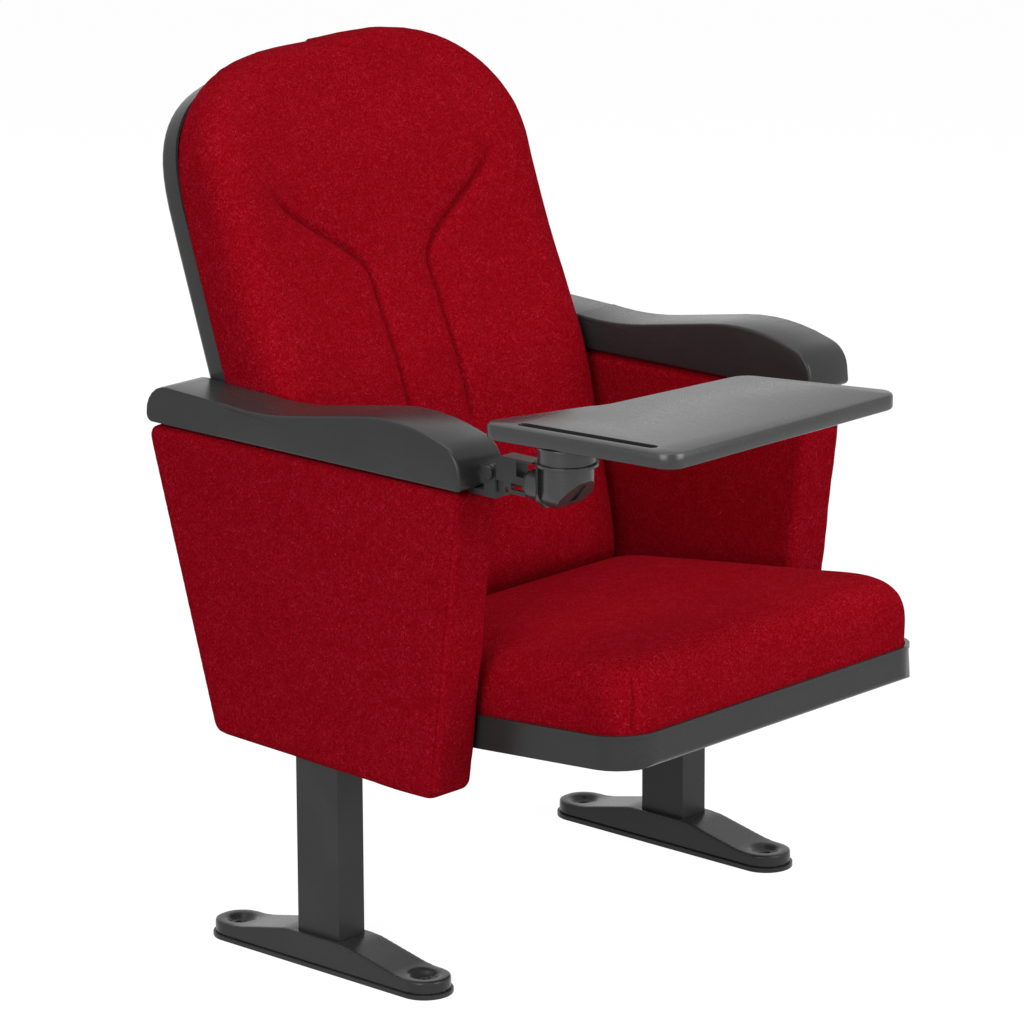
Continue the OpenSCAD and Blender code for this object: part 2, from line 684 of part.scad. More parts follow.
module back_cushion() {
    w = cushion_half_w;
    edge_in = [for (a = edge_turns) back_edge_r * (1 - sin(a))];
    // Column places from the centre line out, as shares between the channel and the edge
    inner_shares = [0, 0.45, 0.8];
    outer_shares = [0.12, 0.3, 0.55, 0.8];
    outer_w = w - back_edge_r;
    low_z = back_foot + back_edge_r * 1.4;
    turn_z = channel_turn[0] - channel_w;
    turn_end_z = channel_turn[1] + 3 * channel_w;
    low_rows = [for (k = [0:6]) low_z + (turn_z - low_z) * k / 7];
    turn_rows = [for (k = [0:13]) turn_z + (turn_end_z - turn_z) * k / 13];
    nominal = concat(low_rows, turn_rows);
    first_z = back_foot + cushion_inset + back_edge_r;
    last_z = nominal[len(nominal) - 1];
    half_x = function (z) let (c = channel_x(z)) concat(
        [for (s = inner_shares) c * s], [c - channel_w * 0.8, c, c + channel_w * 0.8],
        [for (s = outer_shares) c + channel_w + (outer_w - c - channel_w) * s],
        [for (a = edge_turns) w - back_edge_r * (1 - sin(a))]
    );
    // Each row is [height, drop from the top, rise from the foot], two of them left out
    rows = concat(
        [for (k = [4:-1:0]) [undef, undef, edge_in[k]]],
        [for (z = nominal) [z, undef, undef]],
        [for (d = edge_in) [undef, d, undef]]
    );
    row_z = function (row, x)
        !is_undef(row[2]) ? back_foot + cushion_inset + row[2]
        : !is_undef(row[1]) ? arch_top(x) - row[1]
        : first_z + (row[0] - first_z) * min(1, (arch_top(x) - 1.3 * back_edge_r - first_z) / (last_z - first_z));
    row_nominal = function (row) row_z(row, 0);
    grid = [
        for (row = rows)
            let (half = half_x(row_nominal(row)), xs = concat([for (k = [len(half) - 1:-1:1]) -half[k]], half))
            [for (x = xs) let (z = row_z(row, x)) [x, -cushion_t(x, z), z]]
    ];
    m = len(grid);
    n = len(grid[0]);
    loop = concat(
        [for (i = [0:n - 1]) [i, 0]], [for (j = [1:m - 1]) [n - 1, j]],
        [for (i = [n - 2:-1:0]) [i, m - 1]], [for (j = [m - 2:-1:1]) [0, j]]
    );
    tuck = 1 - cushion_inset / back_half_w;
    centre_z = back_straight / 2;
    rear = [for (q = loop) let (p = grid[q[1]][q[0]]) [p.x * tuck, 0, centre_z + (p.z - centre_z) * tuck]];
    base = m * n;
    points = concat([for (row = grid) each row], rear, [[0, 0, centre_z]]);
    face = [
        for (j = [0:m - 2]) for (i = [0:n - 2]) let (a = j * n + i)
            each [[a, a + n, a + n + 1], [a, a + n + 1, a + 1]]
    ];
    ends = len(loop);
    sides = [
        for (k = [0:ends - 1])
            let (q = loop[k], r = loop[(k + 1) % ends], a = q[1] * n + q[0], b = r[1] * n + r[0])
            each [[a, b, base + (k + 1) % ends], [a, base + (k + 1) % ends, base + k]]
    ];
    cap = [for (k = [0:ends - 1]) [base + ends, base + k, base + (k + 1) % ends]];
    color(red) back_frame() polyhedron(points = points, faces = concat(face, sides, cap));
}

/* Seat */

// The seat is drawn about its hinge: Y to the rear, Z square to the pan
module seat_frame() {
    translate([0, -hinge_y, hinge_z]) rotate([-seat_slope, 0, 0]) children();
}

rear_corner_r = 38;
lip_out = 1.2;
lip_h = 4;
housing_low = -32;
housing_front = 48;
housing_run = 34;
pan_plan = [[-pan_half_w, -pan_front], [pan_half_w, -pan_front], [pan_half_w, pan_rear], [-pan_half_w, pan_rear]];
pan_plan_r = [pan_corner_r, pan_corner_r, rear_corner_r, rear_corner_r];
pan_side = [
    [-pan_front, pan_rim - pan_depth], [-housing_front - housing_run, pan_rim - pan_depth],
    [-housing_front, housing_low], [pan_rear - housing_run, housing_low],
    [pan_rear, pan_rim - pan_depth], [pan_rear, pan_rim + cut], [-pan_front, pan_rim + cut]
];
pan_side_r = [7, 20, 16, 20, 12, 0.5, 0.5];

module plan_slab(t, z0, z1) {
    translate([0, 0, z0]) linear_extrude(height = z1 - z0) polygon(rounded(pan_plan, pan_plan_r, t));
}

// Places of the pan's screws, as shares of its half width and its reach
pan_boss_shares = [[-0.625, -0.8], [0.625, -0.8], [-0.625, -0.36], [0.625, -0.36]];
pan_boss_places = [for (p = pan_boss_shares) [p.x * pan_half_w, p.y * pan_front]];
pan_boss_r = 8;

module seat_pan() {
    color(dark) seat_frame() difference() {
        union() {
            difference() {
                intersection() {
                    plan_slab(0, housing_low - cut, pan_rim);
                    bar(rounded(pan_side, pan_side_r), -pan_half_w - cut, pan_half_w + cut);
                }
                intersection() {
                    plan_slab(pan_wall, housing_low, pan_rim + cut);
                    translate([0, 0, pan_wall]) bar(rounded(pan_side, pan_side_r), -pan_half_w, pan_half_w);
                }
            }
            difference() {
                plan_slab(-lip_out, pan_rim - lip_h, pan_rim);
                plan_slab(pan_wall, pan_rim - lip_h - cut, pan_rim + cut);
            }
            for (p = pan_boss_places) translate([p.x, p.y, pan_rim - pan_depth + pan_wall / 2])
                cylinder(r = pan_boss_r, h = pan_depth - pan_wall / 2 - seat_board_t);
        }
        for (s = [-1, 1]) rod_x(stop_orbit + stop_r + cut, min(s * (pan_half_w - 2 * pan_wall), s * (pan_half_w + cut)),
            max(s * (pan_half_w - 2 * pan_wall), s * (pan_half_w + cut)));
        for (p = pan_boss_places) translate([p.x, p.y, pan_rim - pan_depth - cut]) {
            cylinder(r = screw_r + hair, h = pan_depth);
            cylinder(r = screw_head_r + hair, h = screw_head_h + 2 * cut);
        }
    }
}

module seat_board() {
    color(timber) seat_frame() difference() {
        plan_slab(pan_wall + board_wrap, pan_rim - seat_board_t, pan_rim);
        for (p = pan_boss_places) translate([p.x, p.y, pan_rim - seat_board_t - cut])
            cylinder(r = screw_r, h = seat_board_t / 2 + cut);
        seat_screw_places() translate([0, 0, pan_rim - seat_board_t - cut]) cylinder(r = screw_r, h = seat_board_t / 2 + cut);
    }
}

module pan_screws() {
    color(steel) seat_frame() for (p = pan_boss_places) translate([p.x, p.y, pan_rim - pan_depth + cut]) {
        cylinder(r = screw_head_r, h = screw_head_h - hair);
        cylinder(r = screw_r, h = pan_depth - seat_board_t / 2 - 2 * cut);
    }
}

// Seat cushion, rings from the pan's rim up over the rounded edge to the crown
cushion_overhang = 14;
cushion_rear = pan_rear + cushion_overhang;
cushion_side_gap = 3;
cushion_tuck = 4;
rear_sweep_r = 106;
cushion_fall = 0.05;
crown_share = [0.82, 0.6, 0.36, 0.12];
seat_plan = [
    [-pan_half_w + cushion_side_gap, -pan_front + cushion_side_gap],
    [pan_half_w - cushion_side_gap, -pan_front + cushion_side_gap],
    [pan_half_w - cushion_side_gap, cushion_rear], [-pan_half_w + cushion_side_gap, cushion_rear]
];

function cushion_edge_z(y) = pan_rim + cushion_edge_h - cushion_fall * (y + pan_front);
function under_sweep(y, z) = min(z, sqrt(max(pow(rear_sweep_r, 2) - pow(max(y, 0), 2), 0)));

module seat_cushion() {
    side_step = 60;
    plan = function (t) divided(rounded(seat_plan, [for (r = pan_plan_r) max(r, cushion_edge_r + cut)], t, 7), side_step);
    // The same number of points in each ring: the inner rings are drawn in from the outer one
    outer = plan(0);
    centre = [0, (cushion_rear - pan_front) / 2];
    count = len(outer);
    half = [pan_half_w, (pan_front + cushion_rear) / 2];
    drawn = function (t) [for (p = outer) let (c = p - centre)
        centre + [c.x * (half.x - t) / half.x, c.y * (half.y - t) / half.y]];
    inner = drawn(cushion_edge_r);
    rings = concat(
        [[for (p = drawn(cushion_tuck)) [p.x, p.y, pan_rim]]],
        [[for (p = drawn(0)) [p.x, p.y, under_sweep(p.y, pan_rim + (cushion_edge_z(p.y) - pan_rim) * 0.4)]]],
        [for (a = edge_turns) [for (p = drawn(cushion_edge_r * (1 - cos(a))))
            [p.x, p.y, under_sweep(p.y, cushion_edge_z(p.y) - cushion_edge_r * (1 - sin(a)))]]],
        [for (f = crown_share) [for (q = inner) let (p = centre + (q - centre) * f)
            [p.x, p.y, under_sweep(p.y, cushion_edge_z(p.y) + cushion_crown * (1 - f * f))]]]
    );
    color(red) seat_frame() skin(rings);
}

/* Seat hinge, moving side */

bush_wall = 3;
bush_flange_t = 1.5;
bush_flange_w = 2;
seat_leg_w = 42;
seat_leg_t = 4;
bracket_half_d = 34;
bracket_floor_gap = 2;
bracket_low = housing_low + pan_wall + bracket_floor_gap;
bracket_in = bracket_out - bracket_t;

module seat_screw_places() {
    for (s = [-1, 1]) for (y = [-1, 1])
        translate([s * (bracket_in - seat_leg_w / 2), y * bracket_half_d * 0.6, 0]) children();
}

module seat_bracket(side) {
    board_low = pan_rim - seat_board_t;
    color(steel) on_side(side) seat_frame() difference() {
        union() {
            box(bracket_in, bracket_out, -bracket_half_d, bracket_half_d, bracket_low, board_low);
            box(bracket_in - seat_leg_w, bracket_out, -bracket_half_d, bracket_half_d, board_low - seat_leg_t, board_low);
        }
        rod_x(pin_r + bush_wall, bracket_in - cut, bracket_out + cut);
        stop_slot(bracket_in - cut, bracket_out + cut);
        seat_screw_places() translate([0, 0, board_low - seat_leg_t - cut]) cylinder(r = screw_r + hair, h = seat_leg_t + 2 * cut);
    }
}

// Curved slot that the fixed stop pin runs in; its two ends stop the seat
module stop_slot(x0, x1) {
    slot_r = stop_r + hair;
    start = stop_rest_angle + seat_slope;
    translate([x0, 0, 0]) rotate([90, 0, 90]) linear_extrude(height = x1 - x0) union() {
        polygon(concat(
            [for (k = [0:12]) (stop_orbit + slot_r) * [cos(start + seat_tip * k / 12), sin(start + seat_tip * k / 12)]],
            [for (k = [12:-1:0]) (stop_orbit - slot_r) * [cos(start + seat_tip * k / 12), sin(start + seat_tip * k / 12)]]
        ));
        for (a = [start, start + seat_tip]) translate(stop_orbit * [cos(a), sin(a)]) circle(r = slot_r);
    }
}

module hinge_bush(side) {
    color([0.85, 0.85, 0.8]) on_side(side) seat_frame() difference() {
        union() {
            rod_x(pin_r + bush_wall, bracket_in, bracket_out);
            rod_x(pin_r + bush_wall + bush_flange_w, bracket_out, bracket_out + bush_flange_t);
        }
        rod_x(pin_r + run_gap, bracket_in - cut, bracket_out + bush_flange_t + cut);
    }
}

module seat_bracket_screws() {
    board_low = pan_rim - seat_board_t;
    color(steel) seat_frame() seat_screw_places() {
        translate([0, 0, board_low - seat_leg_t - screw_head_h]) cylinder(r = screw_head_r, h = screw_head_h);
        translate([0, 0, board_low - seat_leg_t - hair]) cylinder(r = screw_r, h = seat_leg_t + seat_board_t / 2 - cut);
    }
}

/* Writing tablet */

pivot_reach = 17;
pivot_rise = 20;
knuckle_reach = 71;
housing_reach = 114;
collar_h = 17;
flip_drop = 30;
flange_drop = 21.5;
tablet_front = armrest_front + tablet_nose_gap + tablet_d;
tablet_rear = armrest_front + tablet_nose_gap;
tablet_step = tablet_rear + tablet_step_d;
tablet_left = tablet_reach - std_x;
tablet_right = std_x + tablet_overhang;
tablet_top_z = armrest_crest + tablet_rise;
tablet_low = tablet_top_z - tablet_t;
housing_top = tablet_low - collar_h;
bar_w = 16;
bar_t = 6;
bar_top = arm_plate_top + bar_t;
bar_tail = 14;
bar_rear = arm_screw_y - bar_tail;
pivot_y = armrest_front + pivot_reach;
pivot_z = bar_top + pivot_rise;
flip_z = housing_top - flip_drop;
ear_r = 7.5;
bar_front = pivot_y + ear_r;
ear_t = 4.5;
ear_gap = 8;
tongue_gap = 0.3;
pivot_r = 4;
bolt_fit = 0.03;
spigot_r = 7;
knuckle_r = 16;
knuckle_step = 3;
knuckle_rear = armrest_front + knuckle_reach;
housing_y = armrest_front + housing_reach;
rim_out = 4.7;
rim_r = housing_d / 2 + rim_out;
rim_t = 3;
collar_out = 2;
collar_r = housing_d / 2 + collar_out;
collar_lip = 1.5;

// The tablet's mechanism lies in line with the right-hand armrest
module tablet_line() {
    translate([-std_x, 0, 0]) children();
}

module tablet_bar_space(gap) {
    box(std_x - bar_w / 2 - gap, std_x + bar_w / 2 + gap, -bar_front - armrest_w, -bar_rear + gap,
        arm_plate_top - gap, bar_top + gap);
}

module tablet_bracket() {
    color(dark) tablet_line() difference() {
        union() {
            box(-bar_w / 2, bar_w / 2, -bar_front, -bar_rear, arm_plate_top, bar_top);
            for (s = [-1, 1]) translate([s * (ear_gap + ear_t) / 2, 0, 0]) {
                box(-ear_t / 2, ear_t / 2, -pivot_y - ear_r, -pivot_y + ear_r, arm_plate_top, pivot_z);
                translate([0, -pivot_y, pivot_z]) rod_x(ear_r, -ear_t / 2, ear_t / 2);
            }
        }
        translate([0, -arm_screw_y, arm_plate_top - cut]) cylinder(r = screw_r + hair, h = bar_t + 2 * cut);
        translate([0, -pivot_y, pivot_z]) rod_x(pivot_r + bolt_fit, -bar_w, bar_w);
    }
}

module tablet_pivot_bolt() {
    head_t = 4;
    head_r = 7;
    out = ear_gap / 2 + ear_t;
    color(dark) tablet_line() translate([0, -pivot_y, pivot_z]) {
        rod_x(pivot_r, -out - hair, out + hair);
        rod_x(head_r, -out - hair - head_t, -out - hair);
        rod_x(head_r, out + hair, out + hair + head_t);
    }
}

ear_clear = 1.5;
arm_body_len = 28;
arm_body_rear = pivot_y + ear_r + ear_clear;
arm_body_front = arm_body_rear + arm_body_len;
arm_body_half_w = 9;
lug_hole_r = 2.7;
lug_r = 5.5;
lug_drop = 14;
lug_reach = 15.5;
lug_z = pivot_z - lug_drop;
lug_y = arm_body_rear + lug_reach;
block_drop = 6;
lug_top = pivot_z - block_drop;
web_t = 8;
strut_drop = 3;
bar_low = lug_z - strut_drop;
body_rise = 20;
body_top = pivot_z + body_rise;
flange_y = 17;
flange_t = 6;
flange_r = 29.5;
flange_z = housing_top - flange_drop;
bowl_in = 2;
bowl_corner_r = [8, 12, 1, 1, 1];
bowl_front_share = 0.33;
bowl_low_share = 0.05;
slot_place_shares = [0.525, 0.66];
chamber_half = 11;
spigot_end = 12;
retainer_t = 4;
retainer_lip = 3;
stud_r = 3;
slot_slope = 40;
slot_w = 10;
slot_len = 24;

module swing_arm() {
    color(dark) tablet_line() difference() {
        union() {
            // Tongue between the ears
            translate([0, -pivot_y, pivot_z])
                rod_x(ear_r, -ear_gap / 2 + tongue_gap, ear_gap / 2 - tongue_gap);
            box(-ear_gap / 2 + tongue_gap, ear_gap / 2 - tongue_gap, -arm_body_rear - cut, -pivot_y,
                bar_top + hair, pivot_z + ear_r);
            // Block with a sloped back, the lug, and the bars beside the window
            difference() {
                box(-arm_body_half_w, arm_body_half_w, -arm_body_front, -arm_body_rear, lug_top, body_top);
                translate([0, -arm_body_rear, body_top]) rotate([45, 0, 0])
                    box(-bar_w, bar_w, -lug_r, lug_r, -lug_r, lug_r);
            }
            translate([0, -lug_y, lug_z]) rod_x(lug_r, -arm_body_half_w, -arm_body_half_w + ear_t);
            box(-arm_body_half_w, -arm_body_half_w + ear_t, -lug_y - lug_r, -lug_y + lug_r,
                lug_z, lug_top + cut);
            box(-arm_body_half_w, -arm_body_half_w + ear_t, -knuckle_rear + ear_t, -lug_y,
                bar_low, bar_low + ear_t);
            box(-arm_body_half_w, arm_body_half_w, -knuckle_rear + ear_t, -arm_body_front + cut,
                lug_top, lug_top + web_t);
            box(-arm_body_half_w, arm_body_half_w, -knuckle_rear - ear_t, -arm_body_front + cut,
                body_top - ear_t / 2, body_top);
            translate([0, 0, flip_z]) {
                rod_y(knuckle_r - knuckle_step, -knuckle_rear + hair, -knuckle_rear + ear_t + cut);
                rod_y(spigot_r, -housing_y + spigot_end, -arm_body_front + 2 * ear_t);
            }
        }
        translate([0, -pivot_y, pivot_z]) rod_x(pivot_r + run_gap, -bar_w, bar_w);
        translate([0, -lug_y, lug_z]) rod_x(lug_hole_r, -bar_w, bar_w);
        translate([0, 0, flip_z]) rod_y(stud_r, -housing_y, -housing_y + spigot_end + 4 * retainer_t);
    }
}

// The housing below the tablet: a bowl behind a round flange, with the knuckle
module tablet_housing() {
    r = housing_d / 2;
    low = housing_top - housing_h;
    side = [
        [-r, housing_top - bowl_front_share * housing_h], [-r * bowl_low_share, low], [flange_y, low],
        [flange_y, housing_top], [-r, housing_top]
    ];
    bowl_r = flange_r - bowl_in;
    color(dark) tablet_line() translate([0, -housing_y, 0]) difference() {
        union() {
            intersection() {
                translate([0, 0, low - cut]) cylinder(r = r, h = housing_h + cut);
                bar(rounded(side, bowl_corner_r), -r - cut, r + cut);
                union() {
                    translate([0, 0, flange_z]) rod_y(bowl_r, -housing_d, housing_d);
                    box(-bowl_r, bowl_r, -housing_d, housing_d, flange_z, housing_top);
                }
            }
            intersection() {
                union() {
                    translate([0, 0, flange_z]) rod_y(flange_r, flange_y - flange_t / 2, flange_y + flange_t / 2);
                    box(-flange_r, flange_r, flange_y - flange_t / 2, flange_y + flange_t / 2, flange_z, housing_top);
                }
                translate([0, 0, low - cut]) cylinder(r = rim_r, h = housing_h + cut);
            }
            translate([0, 0, housing_top - rim_t]) cylinder(r = rim_r, h = rim_t);
            translate([0, 0, flip_z]) rod_y(knuckle_r, flange_y, housing_y - knuckle_rear - hair);
        }
        translate([0, 0, flip_z]) rod_y(spigot_r + run_gap, 0, housing_y - knuckle_rear + cut);
        // Chamber for the retainer, open at the top under the collar
        box(-chamber_half, chamber_half, spigot_end - 2 * retainer_t, spigot_end + hair,
            flip_z - chamber_half, housing_top + cut);
        // Slot in the lower front of the housing
        translate([0, -slot_place_shares.x * r, housing_top - slot_place_shares.y * housing_h]) rotate([slot_slope, 0, 0])
            box(-slot_w / 2, slot_w / 2, -slot_w, slot_w / 4, -slot_len / 2, slot_len / 2);
    }
}

module flip_retainer() {
    color(steel) tablet_line() translate([0, -housing_y, flip_z]) {
        rod_y(spigot_r + retainer_lip, spigot_end - retainer_t, spigot_end);
        rod_y(stud_r, spigot_end - hair, spigot_end + 3 * retainer_t);
    }
}

module tablet_screw_places() {
    for (a = [45, 135, 225, 315]) rotate([0, 0, a]) translate([collar_r * 0.72, 0, 0]) children();
}

module tablet_collar() {
    flange_t = 3;
    color(dark) tablet_line() translate([0, -housing_y, 0]) difference() {
        union() {
            translate([0, 0, housing_top]) cylinder(r = collar_r, h = tablet_low - housing_top);
            translate([0, 0, tablet_low - flange_t]) cylinder(r = collar_r + collar_lip, h = flange_t);
        }
        tablet_screw_places() translate([0, 0, housing_top - cut]) cylinder(r = screw_r + hair, h = tablet_low);
        tablet_screw_places() translate([0, 0, housing_top - cut]) cylinder(r = screw_head_r + hair, h = screw_head_h + cut + hair);
    }
}

module tablet_screws() {
    color(steel) tablet_line() translate([0, -housing_y, 0]) tablet_screw_places() {
        translate([0, 0, housing_top + hair]) cylinder(r = screw_head_r, h = screw_head_h);
        translate([0, 0, housing_top + screw_head_h]) cylinder(r = screw_r, h = tablet_low - housing_top - screw_head_h + tablet_t / 2);
    }
}

tablet_slant = 28;
tablet_skew = 4;
tablet_taper = 52;
// Start and end of the step in the tablet's rear edge, as shares of its length
step_start_share = 0.3141;
step_end_share = 0.3666;
tablet_len = tablet_left + tablet_right;
step_start_d = 39;
step_end_d = 49;
tablet_outline = [
    [-tablet_right + tablet_slant, -tablet_front + tablet_skew], [tablet_left, -tablet_front],
    [tablet_left - tablet_taper, -tablet_step],
    [-tablet_right + tablet_len * step_end_share, -tablet_rear - step_end_d],
    [-tablet_right + tablet_len * step_start_share, -tablet_rear - step_start_d],
    [-tablet_right, -tablet_rear]
];
tablet_corner_r = [20, 17, 26, 55, 55, 14];
tablet_edge = 3;
pen_groove_w = 12;
pen_groove_depth = 4;
pen_groove_inset = 22.5;
pen_groove_start = 39;

module tablet_top() {
    rings = [[tablet_low, tablet_edge], [tablet_low + tablet_edge * 0.35, tablet_edge * 0.35],
        [tablet_low + tablet_edge, 0], [tablet_top_z - tablet_edge, 0],
        [tablet_top_z - tablet_edge * 0.35, tablet_edge * 0.35], [tablet_top_z, tablet_edge]];
    groove_start = [-tablet_right + pen_groove_inset, -tablet_rear - pen_groove_start];
    along = unit(tablet_outline[0] - tablet_outline[5]);
    color(dark) difference() {
        skin([for (q = rings) [for (c = rounded(tablet_outline, tablet_corner_r, q[1])) [c.x, c.y, q[0]]]]);
        translate([groove_start.x, groove_start.y, tablet_top_z - pen_groove_depth])
            rotate([0, 0, atan2(along.y, along.x)]) linear_extrude(height = pen_groove_depth + cut) union() {
                translate([pen_groove_w / 2, -pen_groove_w / 2]) square([pen_groove_len - pen_groove_w, pen_groove_w]);
                for (x = [pen_groove_w / 2, pen_groove_len - pen_groove_w / 2]) translate([x, 0]) circle(d = pen_groove_w);
            }
        tablet_line() translate([0, -housing_y, tablet_low - cut]) tablet_screw_places()
            cylinder(r = screw_r, h = tablet_t / 2 + cut);
    }
}

foot_plate("right");  // right_foot_plate
foot_plate("left");  // left_foot_plate
foot_cover("right");  // right_foot_cover
foot_cover("left");  // left_foot_cover
post("right");  // right_post
post("left");  // left_post
arm_plate("right");  // right_arm_plate
arm_plate("left");  // left_arm_plate
panel_rails("right", -1);  // right_front_rails
panel_rails("left", -1);  // left_front_rails
panel_rails("right", 1);  // right_rear_rails
panel_rails("left", 1);  // left_rear_rails
outer_board("right");  // right_outer_board
outer_board("left");  // left_outer_board
inner_board("right");  // right_inner_board
inner_board("left");  // left_inner_board
panel_cover("right");  // right_panel_cover
panel_cover("left");  // left_panel_cover
armrest("right");  // right_armrest
armrest("left");  // left_armrest
armrest_screws();
pivot_plate("right");  // right_pivot_plate
pivot_plate("left");  // left_pivot_plate
pivot_plate_screws();
back_bracket("right");  // right_back_bracket
back_bracket("left");  // left_back_bracket
back_bracket_screws();
back_shell();
back_board();
back_cushion();
seat_pan();
seat_board();
seat_cushion();
pan_screws();
seat_bracket("right");  // right_seat_bracket
seat_bracket("left");  // left_seat_bracket
hinge_bush("right");  // right_hinge_bush
hinge_bush("left");  // left_hinge_bush
seat_bracket_screws();
tablet_bracket();
tablet_pivot_bolt();
swing_arm();
tablet_housing();
flip_retainer();
tablet_collar();
tablet_screws();
tablet_top();
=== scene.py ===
"""Tip-up auditorium seat with a writing tablet: the dressed model, its finishes and its studio."""

import json
import math

import bpy
from mathutils import Matrix, Vector


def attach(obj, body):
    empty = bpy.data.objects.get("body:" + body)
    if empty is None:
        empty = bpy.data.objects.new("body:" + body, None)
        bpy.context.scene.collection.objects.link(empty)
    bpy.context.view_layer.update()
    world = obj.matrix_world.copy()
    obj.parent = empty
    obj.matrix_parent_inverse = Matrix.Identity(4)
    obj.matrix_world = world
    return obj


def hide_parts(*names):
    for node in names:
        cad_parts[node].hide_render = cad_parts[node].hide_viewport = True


bl_info = {
    "name": "Auditorium seat maker",
    "version": (1, 0, 0),
    "blender": (4, 5, 0),
    "location": "View3D > Sidebar > Seat",
    "description": "Dresses a tip-up auditorium seat with upholstery, mouldings, painted steel and a writing tablet",
    "category": "Object",
}

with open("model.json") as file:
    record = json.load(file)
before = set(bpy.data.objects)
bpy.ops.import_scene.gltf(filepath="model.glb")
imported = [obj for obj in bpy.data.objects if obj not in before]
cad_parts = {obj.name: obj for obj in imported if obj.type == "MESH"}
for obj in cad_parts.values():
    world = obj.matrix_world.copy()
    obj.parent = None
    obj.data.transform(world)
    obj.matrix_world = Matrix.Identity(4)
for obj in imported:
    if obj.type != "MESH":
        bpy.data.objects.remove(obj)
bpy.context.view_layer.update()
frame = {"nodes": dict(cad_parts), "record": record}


# Sizes that follow the model, in metres

BACK_ORIGIN = Vector((0.0, 0.091, 0.330))
BACK_LEAN = math.radians(18.4)
SEAT_HINGE = Vector((0.0, -0.050, 0.262))
SEAT_SLOPE = math.radians(4.0)
PANEL_CENTRE = 0.275
PANEL_HALF = 0.031
PANEL_FRONT = (-0.2165, 0.553, 0.1235)  # place at a height, that height, and slope of the front face
PAN_RIM = 0.030
BACK_MIDDLE = 0.216
SEAT_MIDDLE = -0.13
BACK_BASE = -0.004
BACK_FACE = -0.02
SEAT_CORNER = (0.192, -0.289)
FAR_OFF = 1.0

# The arched outline of the back cushion
ARCH_HALF = 0.2415
ARCH_FOOT = 0.433
ARCH_RISE = 0.186
ARCH_POWER = 2.8
ARCH_LOWERED = 0.017

# How far the pads reach into the shell and the pan, and spread there
BACK_TUCK = 0.008
SEAT_TUCK = 0.015
TUCK_SPREAD = 0.0015

# The cloth filling: frames that it is stepped through, and rounds that even out how far it moved
FILLING_FRAMES = 20
EVENING_ROUNDS = 14

# The two pressed channels: place, widening, where they turn, where they end, and their section.
# A painted shade says how much the fabric's colour is darkened along the channel to stand for the shade in its
# crease, and over what width.
CHANNEL_LOW = 0.0448
CHANNEL_SPREAD = 0.1285
CHANNEL_TURN = 0.349
CHANNEL_TURN_LENGTH = 0.123
CHANNEL_ENDS = (0.150, 0.474)
CHANNEL_FADE = 0.05
CHANNEL_DEPTH = 0.0040
CHANNEL_WIDTH = 0.0042
CHANNEL_PAINTED_SHADE = 0.50
CHANNEL_PAINTED_SHADE_WIDTH = 0.0027

# The fuller left shoulder of the back
SHOULDER_FULL = 0.0060
SHOULDER_WIDE = 0.0022
SHOULDER_START = 0.26

# The dart and the fuller form at each front corner of the seat
DART_ANGLE = math.radians(52.0)
DART_LEAN = 1.6
DART_TOP = 0.062
DART_DEPTH = 0.0020
DART_WIDTH = 0.0018
# Painted shade along the dart: how much the fabric's colour is darkened in its crease, and over what width
DART_PAINTED_SHADE = 0.36
DART_PAINTED_SHADE_WIDTH = 0.0013
CORNER_FULL = 0.0026
CORNER_TOP = 0.070

# The side panels' front seams
OUTER_SHARE = 0.8
SEAM_PLACE = 0.0042
SEAM_DEPTH = 0.0009
SEAM_WIDTH = 0.0014
# Painted shade along the seam: how much the fabric's colour is darkened in its crease, and over what width
SEAM_PAINTED_SHADE = 0.34
SEAM_PAINTED_SHADE_WIDTH = 0.0011
PANEL_PUFF = 0.0010
PANEL_PULL = 0.0004


def smooth_step(t):
    u = max(0.0, min(1.0, t))
    return u * u * (3 - 2 * u)


def groove(off, width):
    """Section of a groove, 1 on its line and falling away to nothing on both sides."""
    return math.exp(-((off / width) ** 2))


# Settings that a user would change


class FabricSettings(bpy.types.PropertyGroup):
    """The upholstery fabric."""

    pile: bpy.props.FloatVectorProperty(
        name="Pile colour",
        description="Colour of the fabric's short pile",
        subtype="COLOR",
        size=3,
        min=0.0,
        max=1.0,
        default=(0.270, 0.0004, 0.0040),
    )
    fibre: bpy.props.FloatVectorProperty(
        name="Fibre colour",
        description="Colour of the loose fibres that catch the light",
        subtype="COLOR",
        size=3,
        min=0.0,
        max=1.0,
        default=(0.50, 0.013, 0.036),
    )
    depth: bpy.props.FloatVectorProperty(
        name="Pile shadow",
        description="Colour between the fibres",
        subtype="COLOR",
        size=3,
        min=0.0,
        max=1.0,
        default=(0.125, 0.0003, 0.0026),
    )
    fleck: bpy.props.FloatVectorProperty(
        name="Fleck colour",
        description="Colour of the small knots of pale fibre",
        subtype="COLOR",
        size=3,
        min=0.0,
        max=1.0,
        default=(0.60, 0.075, 0.105),
    )
    voxel: bpy.props.FloatProperty(
        name="Cloth cell",
        description="Size of the cloth's cells when a cushion is filled",
        subtype="DISTANCE",
        unit="LENGTH",
        min=0.004,
        max=0.010,
        default=0.006,
    )
    swell: bpy.props.FloatProperty(
        name="Swell",
        description="Furthest that the cloth of a cushion moves as it is filled",
        subtype="DISTANCE",
        unit="LENGTH",
        min=0.0,
        max=0.02,
        default=0.006,
    )


